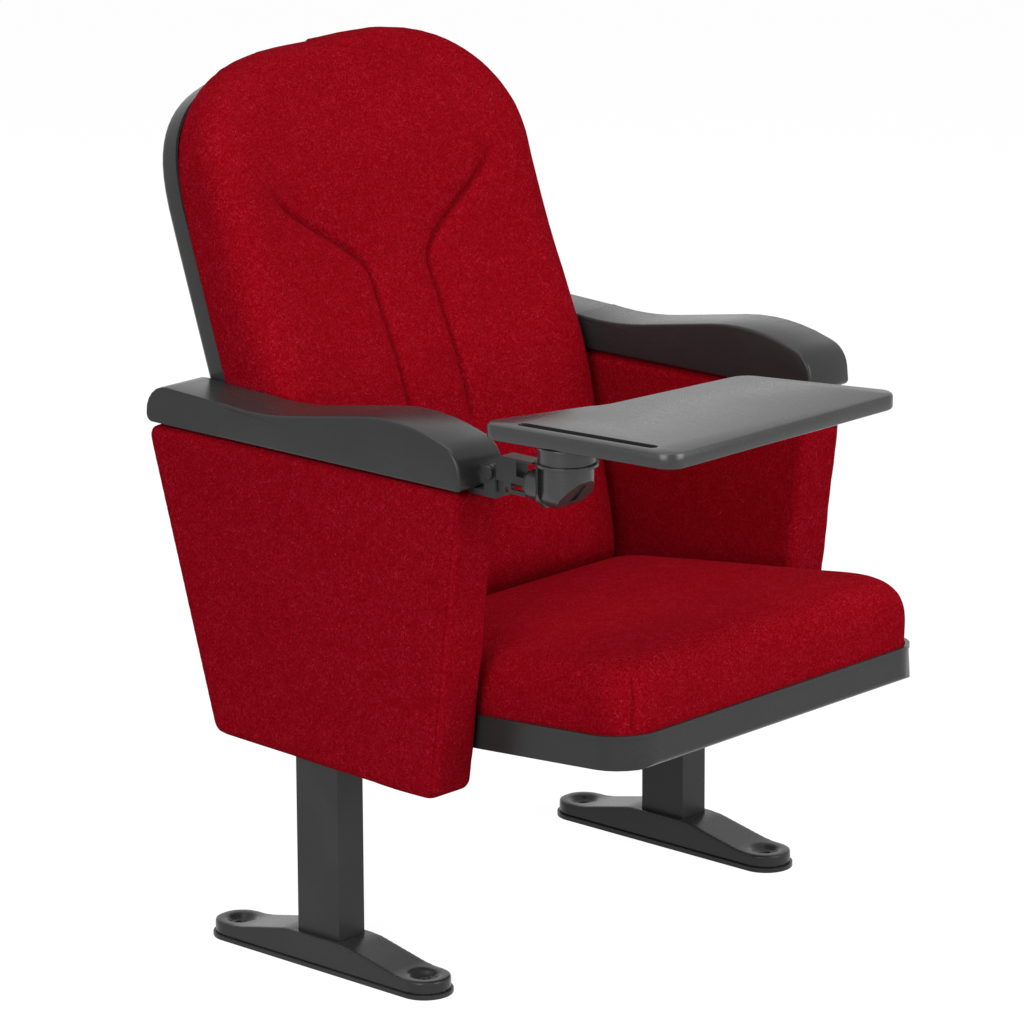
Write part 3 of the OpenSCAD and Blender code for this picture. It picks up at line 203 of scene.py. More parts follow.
class MouldingSettings(bpy.types.PropertyGroup):
    """The moulded plastic and the painted steel."""

    plastic: bpy.props.FloatVectorProperty(
        name="Plastic colour",
        description="Colour of the mouldings",
        subtype="COLOR",
        size=3,
        min=0.0,
        max=1.0,
        default=(0.0320, 0.0320, 0.0320),
    )
    tablet: bpy.props.FloatVectorProperty(
        name="Tablet colour",
        description="Colour of the writing tablet",
        subtype="COLOR",
        size=3,
        min=0.0,
        max=1.0,
        default=(0.026, 0.026, 0.0262),
    )
    paint: bpy.props.FloatVectorProperty(
        name="Paint colour",
        description="Colour of the powder coat on the steel",
        subtype="COLOR",
        size=3,
        min=0.0,
        max=1.0,
        default=(0.0290, 0.0290, 0.0294),
    )


class StudioSettings(bpy.types.PropertyGroup):
    """The camera and the lights."""

    azimuth: bpy.props.FloatProperty(
        name="Camera azimuth",
        description="Angle of the camera round the seat",
        subtype="ANGLE",
        unit="ROTATION",
        default=math.radians(-47.462),
    )
    elevation: bpy.props.FloatProperty(
        name="Camera elevation",
        description="Angle of the camera above the horizon",
        subtype="ANGLE",
        unit="ROTATION",
        default=math.radians(15.065),
    )
    roll: bpy.props.FloatProperty(
        name="Camera roll",
        description="Turn of the picture",
        subtype="ANGLE",
        unit="ROTATION",
        default=math.radians(-0.269),
    )
    distance: bpy.props.FloatProperty(
        name="Camera distance",
        description="Distance from the camera to the seat",
        subtype="DISTANCE",
        unit="LENGTH",
        min=1.0,
        default=6.0023,
    )
    lens: bpy.props.FloatProperty(
        name="Focal length",
        description="Focal length on a 36 mm sensor, in millimetres",
        min=10.0,
        default=197.82,
    )
    ambient: bpy.props.FloatProperty(
        name="Ambient light",
        description="Strength of the even light from all round",
        min=0.0,
        max=2.0,
        default=0.17,
    )
    lamps: bpy.props.FloatProperty(
        name="Lamp level",
        description="Level of the three soft boxes together",
        min=0.0,
        max=4.0,
        default=1.0,
    )
    offset: bpy.props.FloatVectorProperty(
        name="Aim offset",
        description="Shift of the camera's aim across and up the picture, in metres",
        subtype="XYZ",
        size=2,
        default=(0.00633, -0.06169),
    )


# Shader maths


class Signal:
    """One socket of a material's nodes that can be added, multiplied and so on."""

    def __init__(self, finish, socket):
        self.finish = finish
        self.socket = socket

    def _maths(self, operation, other):
        return self.finish.node("ShaderNodeMath", {"operation": operation}, {0: self, 1: other})

    def __add__(self, other):
        return self._maths("ADD", other)

    def __mul__(self, other):
        return self._maths("MULTIPLY", other)

    def __sub__(self, other):
        return self._maths("SUBTRACT", other)

    def __abs__(self):
        return self.finish.node("ShaderNodeMath", {"operation": "ABSOLUTE"}, {0: self})

    def clamped(self):
        return self.finish.node("ShaderNodeMath", {"operation": "ADD", "use_clamp": True}, {0: self, 1: 0.0})


class Finish:
    """A material and the calls that build its nodes."""

    def __init__(self, name):
        self.material = bpy.data.materials.new(name)
        self.material.use_nodes = True
        self.tree = self.material.node_tree
        self.tree.nodes.clear()
        self.column = 0

    def node(self, kind, settings=None, inputs=None, output=0):
        made = self.tree.nodes.new(kind)
        made.location = (180 * self.column, 0)
        self.column += 1
        for key, value in (settings or {}).items():
            setattr(made, key, value)
        for key, value in (inputs or {}).items():
            if isinstance(value, Signal):
                self.tree.links.new(value.socket, made.inputs[key])
            else:
                made.inputs[key].default_value = value
        return Signal(self, made.outputs[output])

    def place(self, stretch=(1.0, 1.0, 1.0), turn=(0.0, 0.0, 0.0)):
        coordinates = self.node("ShaderNodeTexCoord", output="Object")
        return self.node("ShaderNodeMapping", {}, {"Vector": coordinates, "Scale": stretch, "Rotation": turn})

    def noise(self, where, scale, detail=2.0, rough=0.5, distortion=0.0):
        inputs = {"Vector": where, "Scale": scale, "Detail": detail, "Roughness": rough, "Distortion": distortion}
        return self.node("ShaderNodeTexNoise", {"noise_dimensions": "3D"}, inputs)

    def cells(self, where, scale):
        return self.node("ShaderNodeTexVoronoi", {"feature": "F1"}, {"Vector": where, "Scale": scale})

    def rise(self, value, low, high, to_low=0.0, to_high=1.0):
        """value taken from low..high to to_low..to_high and held at the ends."""
        inputs = {"Value": value, "From Min": low, "From Max": high, "To Min": to_low, "To Max": to_high}
        return self.node("ShaderNodeMapRange", {"interpolation_type": "SMOOTHSTEP"}, inputs)

    def mix(self, amount, first, second):
        inputs = {"Factor": amount, "A": first, "B": second}
        made = self.tree.nodes.new("ShaderNodeMix")
        made.data_type = "RGBA"
        for key, value in inputs.items():
            socket = next(s for s in made.inputs if s.name == key and s.enabled)
            if isinstance(value, Signal):
                self.tree.links.new(value.socket, socket)
            else:
                socket.default_value = value
        return Signal(self, next(s for s in made.outputs if s.enabled))

    def bump(self, height, distance, strength):
        return self.node("ShaderNodeBump", {}, {"Height": height, "Distance": distance, "Strength": strength})

    def shade(self, **inputs):
        """Ends the material in a Principled BSDF with these inputs, named with _ for spaces."""
        named = {key.replace("_", " "): value for key, value in inputs.items()}
        shader = self.node("ShaderNodeBsdfPrincipled", {}, named, output="BSDF")
        self.node_output(shader)
        return self.material

    def node_output(self, shader):
        end = self.tree.nodes.new("ShaderNodeOutputMaterial")
        self.tree.links.new(shader.socket, end.inputs["Surface"])


def rgba(colour, gain=1.0):
    return (colour[0] * gain, colour[1] * gain, colour[2] * gain, 1.0)


# Finishes


def red_pile():
    """Short felted pile: frizzy and smooth patches, loose curled fibres and specks, with shade painted dark along
    the sewn folds.
    """
    fabric = bpy.context.scene.seat_fabric
    made = Finish("red_pile_fabric")
    where = made.place()
    drift = made.noise(where, 18.0, 2.0, 0.5)
    patch = made.noise(where, 62.0, 2.0, 0.55)
    grain = made.noise(where, 390.0, 3.0, 0.70)
    curl = made.noise(where, 165.0, 2.0, 0.55, 1.6)
    curl_two = made.noise(made.place((1.0, 1.25, 0.8), (0.6, 0.3, 1.1)), 210.0, 2.0, 0.5, 2.0)
    break_up = made.noise(where, 230.0, 1.0, 0.5)
    strands = made.rise(abs(curl - 0.5), 0.015, 0.085, 1.0, 0.0)
    strands_two = made.rise(abs(curl_two - 0.48), 0.010, 0.070, 1.0, 0.0)
    frizz = made.rise(patch + (drift - 0.5) * 0.5, 0.40, 0.60, 0.62, 1.0)
    curls = strands * made.rise(break_up, 0.48, 0.60) + strands_two * made.rise(break_up, 0.54, 0.42)
    fibres = curls.clamped() * frizz
    specks = made.rise(made.cells(where, 140.0), 0.13, 0.05) * frizz
    pits = made.rise(grain, 0.50, 0.32)
    shade = (drift - 0.5) * 0.22 + (patch - 0.5) * 0.22
    dark = (pits * 0.52 + made.rise(shade, 0.01, -0.14) * 0.16).clamped()
    base = made.mix(dark, rgba(fabric.pile), rgba(fabric.depth))
    lit = made.mix(made.rise(grain, 0.53, 0.70) * 0.50, base, rgba(fabric.fibre, 0.9))
    haired = made.mix(fibres * 0.60, lit, rgba(fabric.fibre))
    colour = made.mix(specks * 0.45, haired, rgba(fabric.fleck))
    # Painted shade: the colour is darkened along the channels, darts and seams to stand for the shade that falls in
    # their creases
    painted_crease_shade = made.node("ShaderNodeAttribute", {"attribute_name": "painted_crease_shade"}, output="Fac")
    crease_shaded_colour = made.mix(painted_crease_shade * 0.82, colour, rgba(fabric.depth, 0.5))
    height = grain * 0.8 + fibres * 0.6 + patch * 0.5
    normal = made.bump(height, 0.0012, 0.55)
    return made.shade(
        Base_Color=crease_shaded_colour,
        Roughness=made.rise(grain, 0.3, 0.7, 0.88, 0.98),
        Normal=normal,
        Specular_IOR_Level=0.03,
        Sheen_Weight=0.012,
        Sheen_Roughness=0.5,
        Sheen_Tint=(1.0, 0.10, 0.14, 1.0),
    )


def moulded_plastic(name, colour, rough, gloss, texture=1.0):
    """Satin moulding with a fine spark texture, faint flow marks and handling wear."""
    made = Finish(name)
    where = made.place()
    fine = made.noise(where, 2600.0, 2.0, 0.6)
    broad = made.noise(where, 9.0, 3.0, 0.55)
    rub = made.noise(made.place((1.0, 0.25, 1.0)), 160.0, 4.0, 0.7)
    flow = (broad - 0.5) * 0.5 + (rub - 0.5) * 0.35
    tone = made.mix(made.rise(flow, -0.25, 0.25), rgba(colour, 0.88), rgba(colour, 1.12))
    specks = made.rise(made.noise(where, 1400.0, 1.0, 0.5), 0.62, 0.78)
    tinted = made.mix(specks * 0.08, tone, (0.10, 0.10, 0.102, 1.0))
    roughness = made.rise(flow, -0.3, 0.3, rough - 0.05, rough + 0.06)
    normal = made.bump(fine * 0.9 + rub * 0.05, 0.00010 * texture, 0.5)
    return made.shade(Base_Color=tinted, Roughness=roughness, Normal=normal, Specular_IOR_Level=gloss)


def powder_coat(name, colour):
    """Powder coat on steel, with a shallow orange peel and a few pin holes."""
    made = Finish(name)
    where = made.place()
    peel = made.noise(where, 420.0, 2.0, 0.5)
    broad = made.noise(where, 14.0, 2.0, 0.5)
    pins = made.rise(made.cells(where, 900.0), 0.10, 0.02)
    tone = made.mix(made.rise(broad, 0.35, 0.65), rgba(colour, 0.88), rgba(colour, 1.15))
    spotted = made.mix(pins * 0.25, tone, rgba(colour, 0.45))
    normal = made.bump(peel - pins * 0.15, 0.00035, 0.45)
    return made.shade(
        Base_Color=spotted,
        Roughness=made.rise(broad, 0.3, 0.7, 0.34, 0.44),
        Normal=normal,
        Specular_IOR_Level=0.24,
    )


def zinc_plate():
    """Zinc plated steel with faint drawn lines and dull patches."""
    made = Finish("zinc_plated_steel")
    lines = made.noise(made.place((1.0, 1.0, 0.03)), 1600.0, 2.0, 0.6)
    patch = made.noise(made.place(), 60.0, 3.0, 0.6)
    tone = made.mix(made.rise(patch, 0.35, 0.65), (0.42, 0.42, 0.44, 1.0), (0.60, 0.60, 0.61, 1.0))
    return made.shade(
        Base_Color=tone,
        Metallic=1.0,
        Roughness=made.rise(lines + patch * 0.5, 0.4, 1.1, 0.26, 0.44),
        Normal=made.bump(lines, 0.00008, 0.5),
    )


def plywood():
    """Plain birch plywood with long grain and darker plies."""
    made = Finish("birch_plywood")
    where = made.place((9.0, 9.0, 0.8))
    grain = made.noise(where, 22.0, 5.0, 0.65, 0.8)
    bands = {"Vector": made.place(), "Scale": 105.0, "Distortion": 0.4}
    plies = made.node("ShaderNodeTexWave", {"bands_direction": "X"}, bands)
    tone = made.mix(made.rise(grain, 0.35, 0.68), (0.58, 0.41, 0.22, 1.0), (0.36, 0.22, 0.10, 1.0))
    edged = made.mix(made.rise(plies, 0.6, 0.95) * 0.22, tone, (0.24, 0.14, 0.06, 1.0))
    roughness = made.rise(grain, 0.3, 0.7, 0.55, 0.72)
    return made.shade(Base_Color=edged, Roughness=roughness, Normal=made.bump(grain, 0.0003, 0.5))


def bearing_plastic():
    """Pale smooth bearing plastic with faint turning rings."""
    made = Finish("bearing_plastic")
    rings = made.noise(made.place((0.05, 1.0, 1.0)), 1800.0, 1.0, 0.5)
    tone = made.mix(made.rise(rings, 0.4, 0.6), (0.62, 0.61, 0.56, 1.0), (0.72, 0.71, 0.66, 1.0))
    roughness = made.rise(rings, 0.3, 0.7, 0.34, 0.44)
    return made.shade(Base_Color=tone, Roughness=roughness, Normal=made.bump(rings, 0.0001, 0.4))


FINISHES = {}


def finishes():
    if not FINISHES:
        mould = bpy.context.scene.seat_moulding
        FINISHES.update(
            red_fabric=red_pile(),
            dark_plastic=moulded_plastic("charcoal_moulding", mould.plastic, 0.25, 0.23),
            tablet_plastic=moulded_plastic("tablet_moulding", mould.tablet, 0.27, 0.5, 0.8),
            dark_painted_steel=powder_coat("charcoal_powder_coat", mould.paint),
            plain_steel=zinc_plate(),
            timber=plywood(),
            bush_plastic=bearing_plastic(),
        )
    return FINISHES


SLOT_OF = {p["node"]: p["material_slot"] for p in frame["record"]["subparts"]}
BODY_OF = {n: body for body, nodes in frame["record"]["behaviour"]["bodies"].items() for n in nodes}


# Work on pieces


def only_nothing():
    """Leaves any edit mode and selects nothing."""
    if bpy.context.object is not None and bpy.context.object.mode != "OBJECT":
        bpy.ops.object.mode_set(mode="OBJECT")
    bpy.ops.object.select_all(action="DESELECT")


def only(piece):
    """Selects this piece alone and makes it active."""
    only_nothing()
    piece.hide_viewport = False
    piece.select_set(True)
    bpy.context.view_layer.objects.active = piece


def copy_of(node, name):
    """A copy of a CAD node with its loose triangles joined, as a new piece."""
    source = frame["nodes"][node]
    piece = bpy.data.objects.new(name, source.data.copy())
    bpy.context.scene.collection.objects.link(piece)
    piece.data.materials.clear()
    only(piece)
    if piece.data.has_custom_normals:
        bpy.ops.mesh.customdata_custom_splitnormals_clear()
    bpy.ops.object.mode_set(mode="EDIT")
    bpy.ops.mesh.select_all(action="SELECT")
    bpy.ops.mesh.remove_doubles(threshold=0.00002)
    bpy.ops.object.mode_set(mode="OBJECT")
    return piece


def dress(piece, node):
    """Gives a finished piece its finish and its body, and hides the CAD node that it stands for."""
    slot = SLOT_OF[node]
    piece.data.materials.clear()
    piece.data.materials.append(finishes()[slot])
    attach(piece, BODY_OF[node])
    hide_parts(node)


def apply_modifier(piece, kind, **settings):
    only(piece)
    made = piece.modifiers.new(kind.lower(), kind)
    for key, value in settings.items():
        setattr(made, key, value)
    bpy.ops.object.modifier_apply(modifier=made.name)


def moulded_copy(node, edge):
    """A moulding or pressing with the CAD node's form, its sharp edges eased by edge metres."""
    piece = copy_of(node, node + "_finished")
    if edge:
        bpy.ops.object.mode_set(mode="EDIT")
        bpy.ops.mesh.select_all(action="SELECT")
        bpy.ops.mesh.dissolve_limited(angle_limit=math.radians(0.6))
        bpy.ops.object.mode_set(mode="OBJECT")
        apply_modifier(
            piece,
            "BEVEL",
            width=edge,
            segments=2,
            limit_method="ANGLE",
            angle_limit=math.radians(38.0),
            use_clamp_overlap=True,
            miter_outer="MITER_ARC",
        )
    apply_modifier(piece, "TRIANGULATE", min_vertices=5)
    only(piece)
    bpy.ops.object.shade_smooth_by_angle(angle=math.radians(32.0), keep_sharp_edges=False)
    if edge:
        apply_modifier(piece, "WEIGHTED_NORMAL", keep_sharp=True, weight=80)
    dress(piece, node)


def soft_moulding(node, cell, above, fade):
    """A moulding with soft rounded edges above a height, and its base lip kept crisp."""
    piece = copy_of(node, node + "_finished")
    apply_modifier(piece, "REMESH", mode="VOXEL", voxel_size=cell, use_smooth_shade=True)
    upper = piece.vertex_groups.new(name="upper")
    for v in piece.data.vertices:
        upper.add([v.index], smooth_step((v.co.z - above) / fade), "REPLACE")
    apply_modifier(piece, "SMOOTH", factor=0.6, iterations=14, vertex_group="upper")
    apply_modifier(piece, "SMOOTH", factor=0.5, iterations=1)
    piece.vertex_groups.clear()
    apply_modifier(piece, "DECIMATE", ratio=0.4)
    only(piece)
    bpy.ops.object.shade_smooth()
    dress(piece, node)


def evened(mesh, values, held, rounds):
    """Evens out a value over a mesh, round by round, with the held points kept at nothing."""
    edges = [tuple(edge.vertices) for edge in mesh.edges]
    for _ in range(rounds):
        total = list(values)
        count = [1] * len(values)
        for a, b in edges:
            total[a] += values[b]
            total[b] += values[a]
            count[a] += 1
            count[b] += 1
        values = [0.0 if fixed else t / n for t, n, fixed in zip(total, count, held)]
    return values


def filled(piece, pinned, cap, cell):
    """Remeshes a closed pad and fills it as a cloth bag under pressure, outwards and no further than cap."""
    apply_modifier(piece, "REMESH", mode="VOXEL", voxel_size=cell, use_smooth_shade=True)
    apply_modifier(piece, "SMOOTH", factor=0.5, iterations=3)
    if cap:
        before = [(v.co.copy(), v.normal.copy()) for v in piece.data.vertices]
        held = piece.vertex_groups.new(name="held")
        held.add([v.index for v in piece.data.vertices if pinned(v.co)], 1.0, "ADD")
        cloth = piece.modifiers.new("filling", "CLOTH")
        cloth.settings.quality = 5
        cloth.settings.mass = 0.3
        cloth.settings.use_pressure = True
        cloth.settings.uniform_pressure_force = 4.0
        cloth.settings.tension_stiffness = 12.0
        cloth.settings.compression_stiffness = 12.0
        cloth.settings.shear_stiffness = 5.0
        cloth.settings.bending_stiffness = 0.6
        cloth.settings.vertex_group_mass = "held"
        cloth.settings.effector_weights.gravity = 0.0
        cloth.collision_settings.use_collision = False
        cloth.point_cache.frame_start = 1
        cloth.point_cache.frame_end = FILLING_FRAMES
        scene = bpy.context.scene
        for step in range(1, FILLING_FRAMES + 1):
            scene.frame_set(step)
        only(piece)
        bpy.ops.object.modifier_apply(modifier=cloth.name)
        scene.frame_set(1)
        moves = [max((v.co - was).dot(normal), 0.0) for v, (was, normal) in zip(piece.data.vertices, before)]
        capped = [cap * math.tanh(move / cap) for move in moves]
        moves = evened(piece.data, capped, [pinned(was) for was, _ in before], EVENING_ROUNDS)
        for v, (was, normal), move in zip(piece.data.vertices, before, moves):
            v.co = was + normal * move
        piece.vertex_groups.clear()
        apply_modifier(piece, "SMOOTH", factor=0.5, iterations=4)
    apply_modifier(piece, "SUBSURF", levels=1, render_levels=1)


def shifted(piece, shift):
    """Moves every point by what shift gives for it."""
    for v in piece.data.vertices:
        v.co = v.co + shift(v.co)
    piece.data.update()


def fine_strip(piece, near, rounds=2):
    """Subdivides the faces whose centres lie near a seam."""
    for _ in range(rounds):
        chosen = [near(face.center) for face in piece.data.polygons]
        only(piece)
        bpy.ops.object.mode_set(mode="EDIT")
        bpy.ops.mesh.select_mode(type="FACE")
        bpy.ops.mesh.select_all(action="DESELECT")
        bpy.ops.object.mode_set(mode="OBJECT")
        piece.data.polygons.foreach_set("select", chosen)
        bpy.ops.object.mode_set(mode="EDIT")
        bpy.ops.mesh.subdivide(number_cuts=1, smoothness=0.0)
        bpy.ops.object.mode_set(mode="OBJECT")


def pushed(piece, shift):
    """Moves every point along its normal by the first number that shift gives for it.

    The second number, from 0 to 1, is kept as painted crease shade at that point, where the fabric's colour is
    darkened to stand for the shade in the crease.
    """
    mesh = piece.data
    normals = [v.normal.copy() for v in mesh.vertices]
    # Painted shade kept per point, which darkens the fabric's colour along the creases
    crease_shade_layer = mesh.attributes.new(name="painted_crease_shade", type="FLOAT", domain="POINT")
    for v, normal in zip(mesh.vertices, normals):
        move, painted_crease_shade = shift(v.co)
        v.co = v.co + normal * move
        crease_shade_layer.data[v.index].value = painted_crease_shade
    mesh.update()


def soft_finish(piece, node):
    """Ends a padded piece: smooth shading, its finish and its body."""
    only(piece)
    bpy.ops.object.shade_smooth()
    dress(piece, node)


# Places in the leaning back and on the tilted seat


def in_back(point):
    """A point in the back's own axes: across, to the rear, and up along the back."""
    return Matrix.Rotation(BACK_LEAN, 3, "X") @ (point - BACK_ORIGIN)


def out_of_back(direction):
    """A direction in the back's own axes, as a direction in the room."""
    return Matrix.Rotation(-BACK_LEAN, 3, "X") @ direction


def in_seat(point):
    """A point in the seat's own axes about its hinge."""
    return Matrix.Rotation(SEAT_SLOPE, 3, "X") @ (point - SEAT_HINGE)


def out_of_seat(direction):
    """A direction in the seat's own axes, as a direction in the room."""
    return Matrix.Rotation(-SEAT_SLOPE, 3, "X") @ direction


def channel_place(height):
    """Distance of a channel from the middle of the back at a height."""
    return CHANNEL_LOW + CHANNEL_SPREAD * smooth_step((height - CHANNEL_TURN) / CHANNEL_TURN_LENGTH)


def channel_off(place):
    """Distance of a place on the back from the nearer channel's line."""
    step = 0.001
    lean = (channel_place(place.z + step) - channel_place(place.z - step)) / (2 * step)
    return (abs(place.x) - channel_place(place.z)) / math.sqrt(1 + lean * lean)


def corner_off(place):
    """Distance of a place on the seat cushion from the dart in the nearer front corner."""
    corner = Vector((abs(place.x) - SEAT_CORNER[0], place.y - SEAT_CORNER[1]))
    if corner.x < 0.0 or corner.y > 0.0:
        return FAR_OFF
    return (math.atan2(-corner.y, corner.x) - DART_ANGLE - DART_LEAN * (place.z - PAN_RIM)) * corner.length


def arch_polar(place):
    """Angle of a place round the arch of the back, from its left end, and its reach as a share of the arch."""
    across, rise = place.x / ARCH_HALF, max(place.z - ARCH_FOOT, 0.0) / ARCH_RISE
    return math.atan2(rise, across), (abs(across) ** ARCH_POWER + rise**ARCH_POWER) ** (1 / ARCH_POWER)


def rounded_arch(piece, bins=120, window=7, spread=6):
    """Fills out the short flats round the arch of the back, and lowers its top a little.

    The arch is looked at in bins by angle. Each bin's reach goes to the even outline round its neighbours.
    """
    reach = [0.0] * (bins + 1)
    for v in piece.data.vertices:
        angle, share = arch_polar(in_back(v.co))
        at = round(angle / math.pi * bins)
        reach[at] = max(reach[at], share)
    around = [[min(max(i + k, 1), bins - 1) for k in range(-window, window + 1)] for i in range(bins + 1)]
    outer = [max(reach[k] for k in places) for places in around]
    near = range(-spread, spread + 1)
    even = [sum(outer[min(max(i + k, 0), bins)] for k in near) / len(near) for i in range(bins + 1)]
    ratio = [wanted / max(now, 0.5) for wanted, now in zip(even, reach)]
    for v in piece.data.vertices:
        place = in_back(v.co)
        if place.z <= ARCH_FOOT:
            continue
        angle, share = arch_polar(place)
        at = angle / math.pi * bins
        low = min(int(at), bins - 1)
        grow = ratio[low] + (ratio[low + 1] - ratio[low]) * (at - low) - 1.0 - ARCH_LOWERED * math.sin(angle) ** 6
        grow *= smooth_step((share - 0.75) / 0.2) * smooth_step((place.z - ARCH_FOOT) / 0.03)
        v.co = v.co + out_of_back(Vector((place.x * grow, 0.0, (place.z - ARCH_FOOT) * grow)))
    piece.data.update()


def panel_front(height):
    """Where a side panel's sloping front face stands at a height."""
    place, at_height, slope = PANEL_FRONT
    return place + (at_height - height) * slope


# Operators


class SEAT_OT_back_cushion(bpy.types.Operator):
    """Makes the back cushion: a filled cloth pad with two pressed channels"""

    bl_idname = "seat.back_cushion"
    bl_label = "Back cushion"

    def execute(self, context):
        fabric = context.scene.seat_fabric
        piece = copy_of("back_cushion", "back_pad")

        def into_shell(point):
            place = in_back(point)
            if place.y < BACK_BASE:
                return Vector()
            outward = Vector((-place.x, 0.0, BACK_MIDDLE - place.z)).normalized() * -TUCK_SPREAD
            return out_of_back(outward + Vector((0.0, BACK_TUCK, 0.0)))

        def by_channel(point):
            place = in_back(point)
            return place.y < BACK_FACE and abs(channel_off(place)) < 0.011 and 0.13 < place.z < 0.49

        shifted(piece, into_shell)
        filled(piece, lambda p: in_back(p).y > BACK_BASE, fabric.swell, fabric.voxel)
        fine_strip(piece, by_channel)

        def shoulder(point):
            place = in_back(point)
            if place.x <= 0.0:
                return Vector()
            share = place.x / ARCH_HALF
            rise = max(0.0, place.z - ARCH_FOOT) / ARCH_RISE
            rim = min(1.0, math.hypot(share, rise)) ** 4
            fuller = math.sin(2.0 * math.atan2(rise, share)) ** 2 * SHOULDER_FULL
            wider = SHOULDER_WIDE * smooth_step((place.z - SHOULDER_START) / 0.06)
            return out_of_back(Vector((share, 0.0, rise)).normalized() * rim * (fuller + wider))

        def press(point):
            place = in_back(point)
            if place.y > BACK_FACE:
                return 0.0, 0.0
            off = channel_off(place)
            low, high = CHANNEL_ENDS
            ends = smooth_step((place.z - low) / CHANNEL_FADE) * smooth_step((high - place.z) / CHANNEL_FADE)
            # Painted shade along the channel's crease
            painted_crease_shade = CHANNEL_PAINTED_SHADE * ends * groove(off, CHANNEL_PAINTED_SHADE_WIDTH)
            return -CHANNEL_DEPTH * ends * groove(off, CHANNEL_WIDTH), painted_crease_shade

        rounded_arch(piece)
        pushed(piece, press)
        shifted(piece, shoulder)
        soft_finish(piece, "back_cushion")
        return {"FINISHED"}


class SEAT_OT_seat_cushion(bpy.types.Operator):
    """Makes the seat cushion: a crowned cloth pad with a dart sewn into each front corner"""

    bl_idname = "seat.seat_cushion"
    bl_label = "Seat cushion"

    def execute(self, context):
        fabric = context.scene.seat_fabric
        piece = copy_of("seat_cushion", "seat_pad")

        def into_pan(point):
            place = in_seat(point)
            if place.z > PAN_RIM + 0.003:
                return Vector()
            outward = Vector((-place.x, SEAT_MIDDLE - place.y, 0.0)).normalized() * -TUCK_SPREAD
            return out_of_seat(outward - Vector((0.0, 0.0, SEAT_TUCK)))

        shifted(piece, into_pan)
        filled(piece, lambda p: in_seat(p).z < PAN_RIM + 0.006, fabric.swell * 0.6, fabric.voxel)
        fine_strip(piece, lambda p: abs(corner_off(in_seat(p))) < 0.007)

        def sew(point):
            place = in_seat(point)
            off = corner_off(place)
            height = smooth_step((DART_TOP + PAN_RIM - place.z) / 0.014) * smooth_step((place.z - PAN_RIM) / 0.008)
            across = smooth_step((abs(place.x) - SEAT_CORNER[0]) / 0.024)
            along = smooth_step((SEAT_CORNER[1] - place.y) / 0.024)
            fuller = CORNER_FULL * (across * along) * smooth_step((CORNER_TOP + PAN_RIM - place.z) / 0.05)
            # Painted shade along the dart's crease
            painted_crease_shade = DART_PAINTED_SHADE * height * groove(off, DART_PAINTED_SHADE_WIDTH)
            return fuller - DART_DEPTH * height * groove(off, DART_WIDTH), painted_crease_shade

        pushed(piece, sew)
        soft_finish(piece, "seat_cushion")
        return {"FINISHED"}


class SEAT_OT_side_panels(bpy.types.Operator):
    """Makes the two padded side panels with their sewn front seams"""

    bl_idname = "seat.side_panels"
    bl_label = "Side panels"

    def execute(self, context):
        for side, way in (("right", -1.0), ("left", 1.0)):
            node = side + "_panel_cover"
            piece = copy_of(node, side + "_panel_pad")
            bpy.ops.object.mode_set(mode="EDIT")
            bpy.ops.mesh.select_all(action="SELECT")
            bpy.ops.mesh.convex_hull()
            bpy.ops.object.mode_set(mode="OBJECT")
            filled(piece, lambda p: True, 0.0, 0.004)

            def seam_off(point, way=way):
                if (point.x * way - PANEL_CENTRE) / PANEL_HALF < OUTER_SHARE:
                    return FAR_OFF
                return point.y - panel_front(point.z) - SEAM_PLACE

            fine_strip(piece, lambda p: abs(seam_off(p)) < 0.005, 1)

            def sew(point, way=way):
                out = (point.x * way - PANEL_CENTRE) / PANEL_HALF
                away = point.y - panel_front(point.z)
                off = seam_off(point)
                pull = PANEL_PULL * math.sin(point.z * 61.0 + point.y * 13.0) * math.exp(-max(away, 0.0) / 0.03)
                puff = PANEL_PUFF * smooth_step((away - 0.008) / 0.05) if out > OUTER_SHARE else 0.0
                # Painted shade along the seam's crease
                painted_crease_shade = SEAM_PAINTED_SHADE * groove(off, SEAM_PAINTED_SHADE_WIDTH)
                return puff + pull - SEAM_DEPTH * groove(off, SEAM_WIDTH), painted_crease_shade

            pushed(piece, sew)
            soft_finish(piece, node)
        return {"FINISHED"}


class SEAT_OT_mouldings(bpy.types.Operator):
    """Finishes the armrests, the back shell, the seat pan and the foot covers"""

    bl_idname = "seat.mouldings"
    bl_label = "Mouldings"

    def execute(self, context):
        for node, edge in (
            ("right_armrest", 0.0),
            ("left_armrest", 0.0),
            ("back_shell", 0.0),
            ("seat_pan", 0.0009),
        ):
            moulded_copy(node, edge)
        for node in ("right_foot_cover", "left_foot_cover"):
            soft_moulding(node, 0.0014, 0.010, 0.006)
        return {"FINISHED"}


class SEAT_OT_steelwork(bpy.types.Operator):
    """Finishes the posts, foot plates and brackets"""

    bl_idname = "seat.steelwork"
    bl_label = "Steelwork"

    def execute(self, context):
        for node, edge in (
            ("right_post", 0.0022),
            ("left_post", 0.0022),
            ("right_foot_plate", 0.0016),
            ("left_foot_plate", 0.0016),
            ("tablet_bracket", 0.0007),
            ("swing_arm", 0.0007),
            ("right_back_bracket", 0.0005),
            ("left_back_bracket", 0.0005),
            ("tablet_pivot_bolt", 0.0008),
        ):
            moulded_copy(node, edge)
        return {"FINISHED"}


class SEAT_OT_tablet(bpy.types.Operator):
    """Finishes the writing tablet, its collar and its housing"""

    bl_idname = "seat.tablet"
    bl_label = "Writing tablet"

    def execute(self, context):
        for node, edge in (("tablet_top", 0.0), ("tablet_collar", 0.0008), ("tablet_housing", 0.0009)):
            moulded_copy(node, edge)
        return {"FINISHED"}


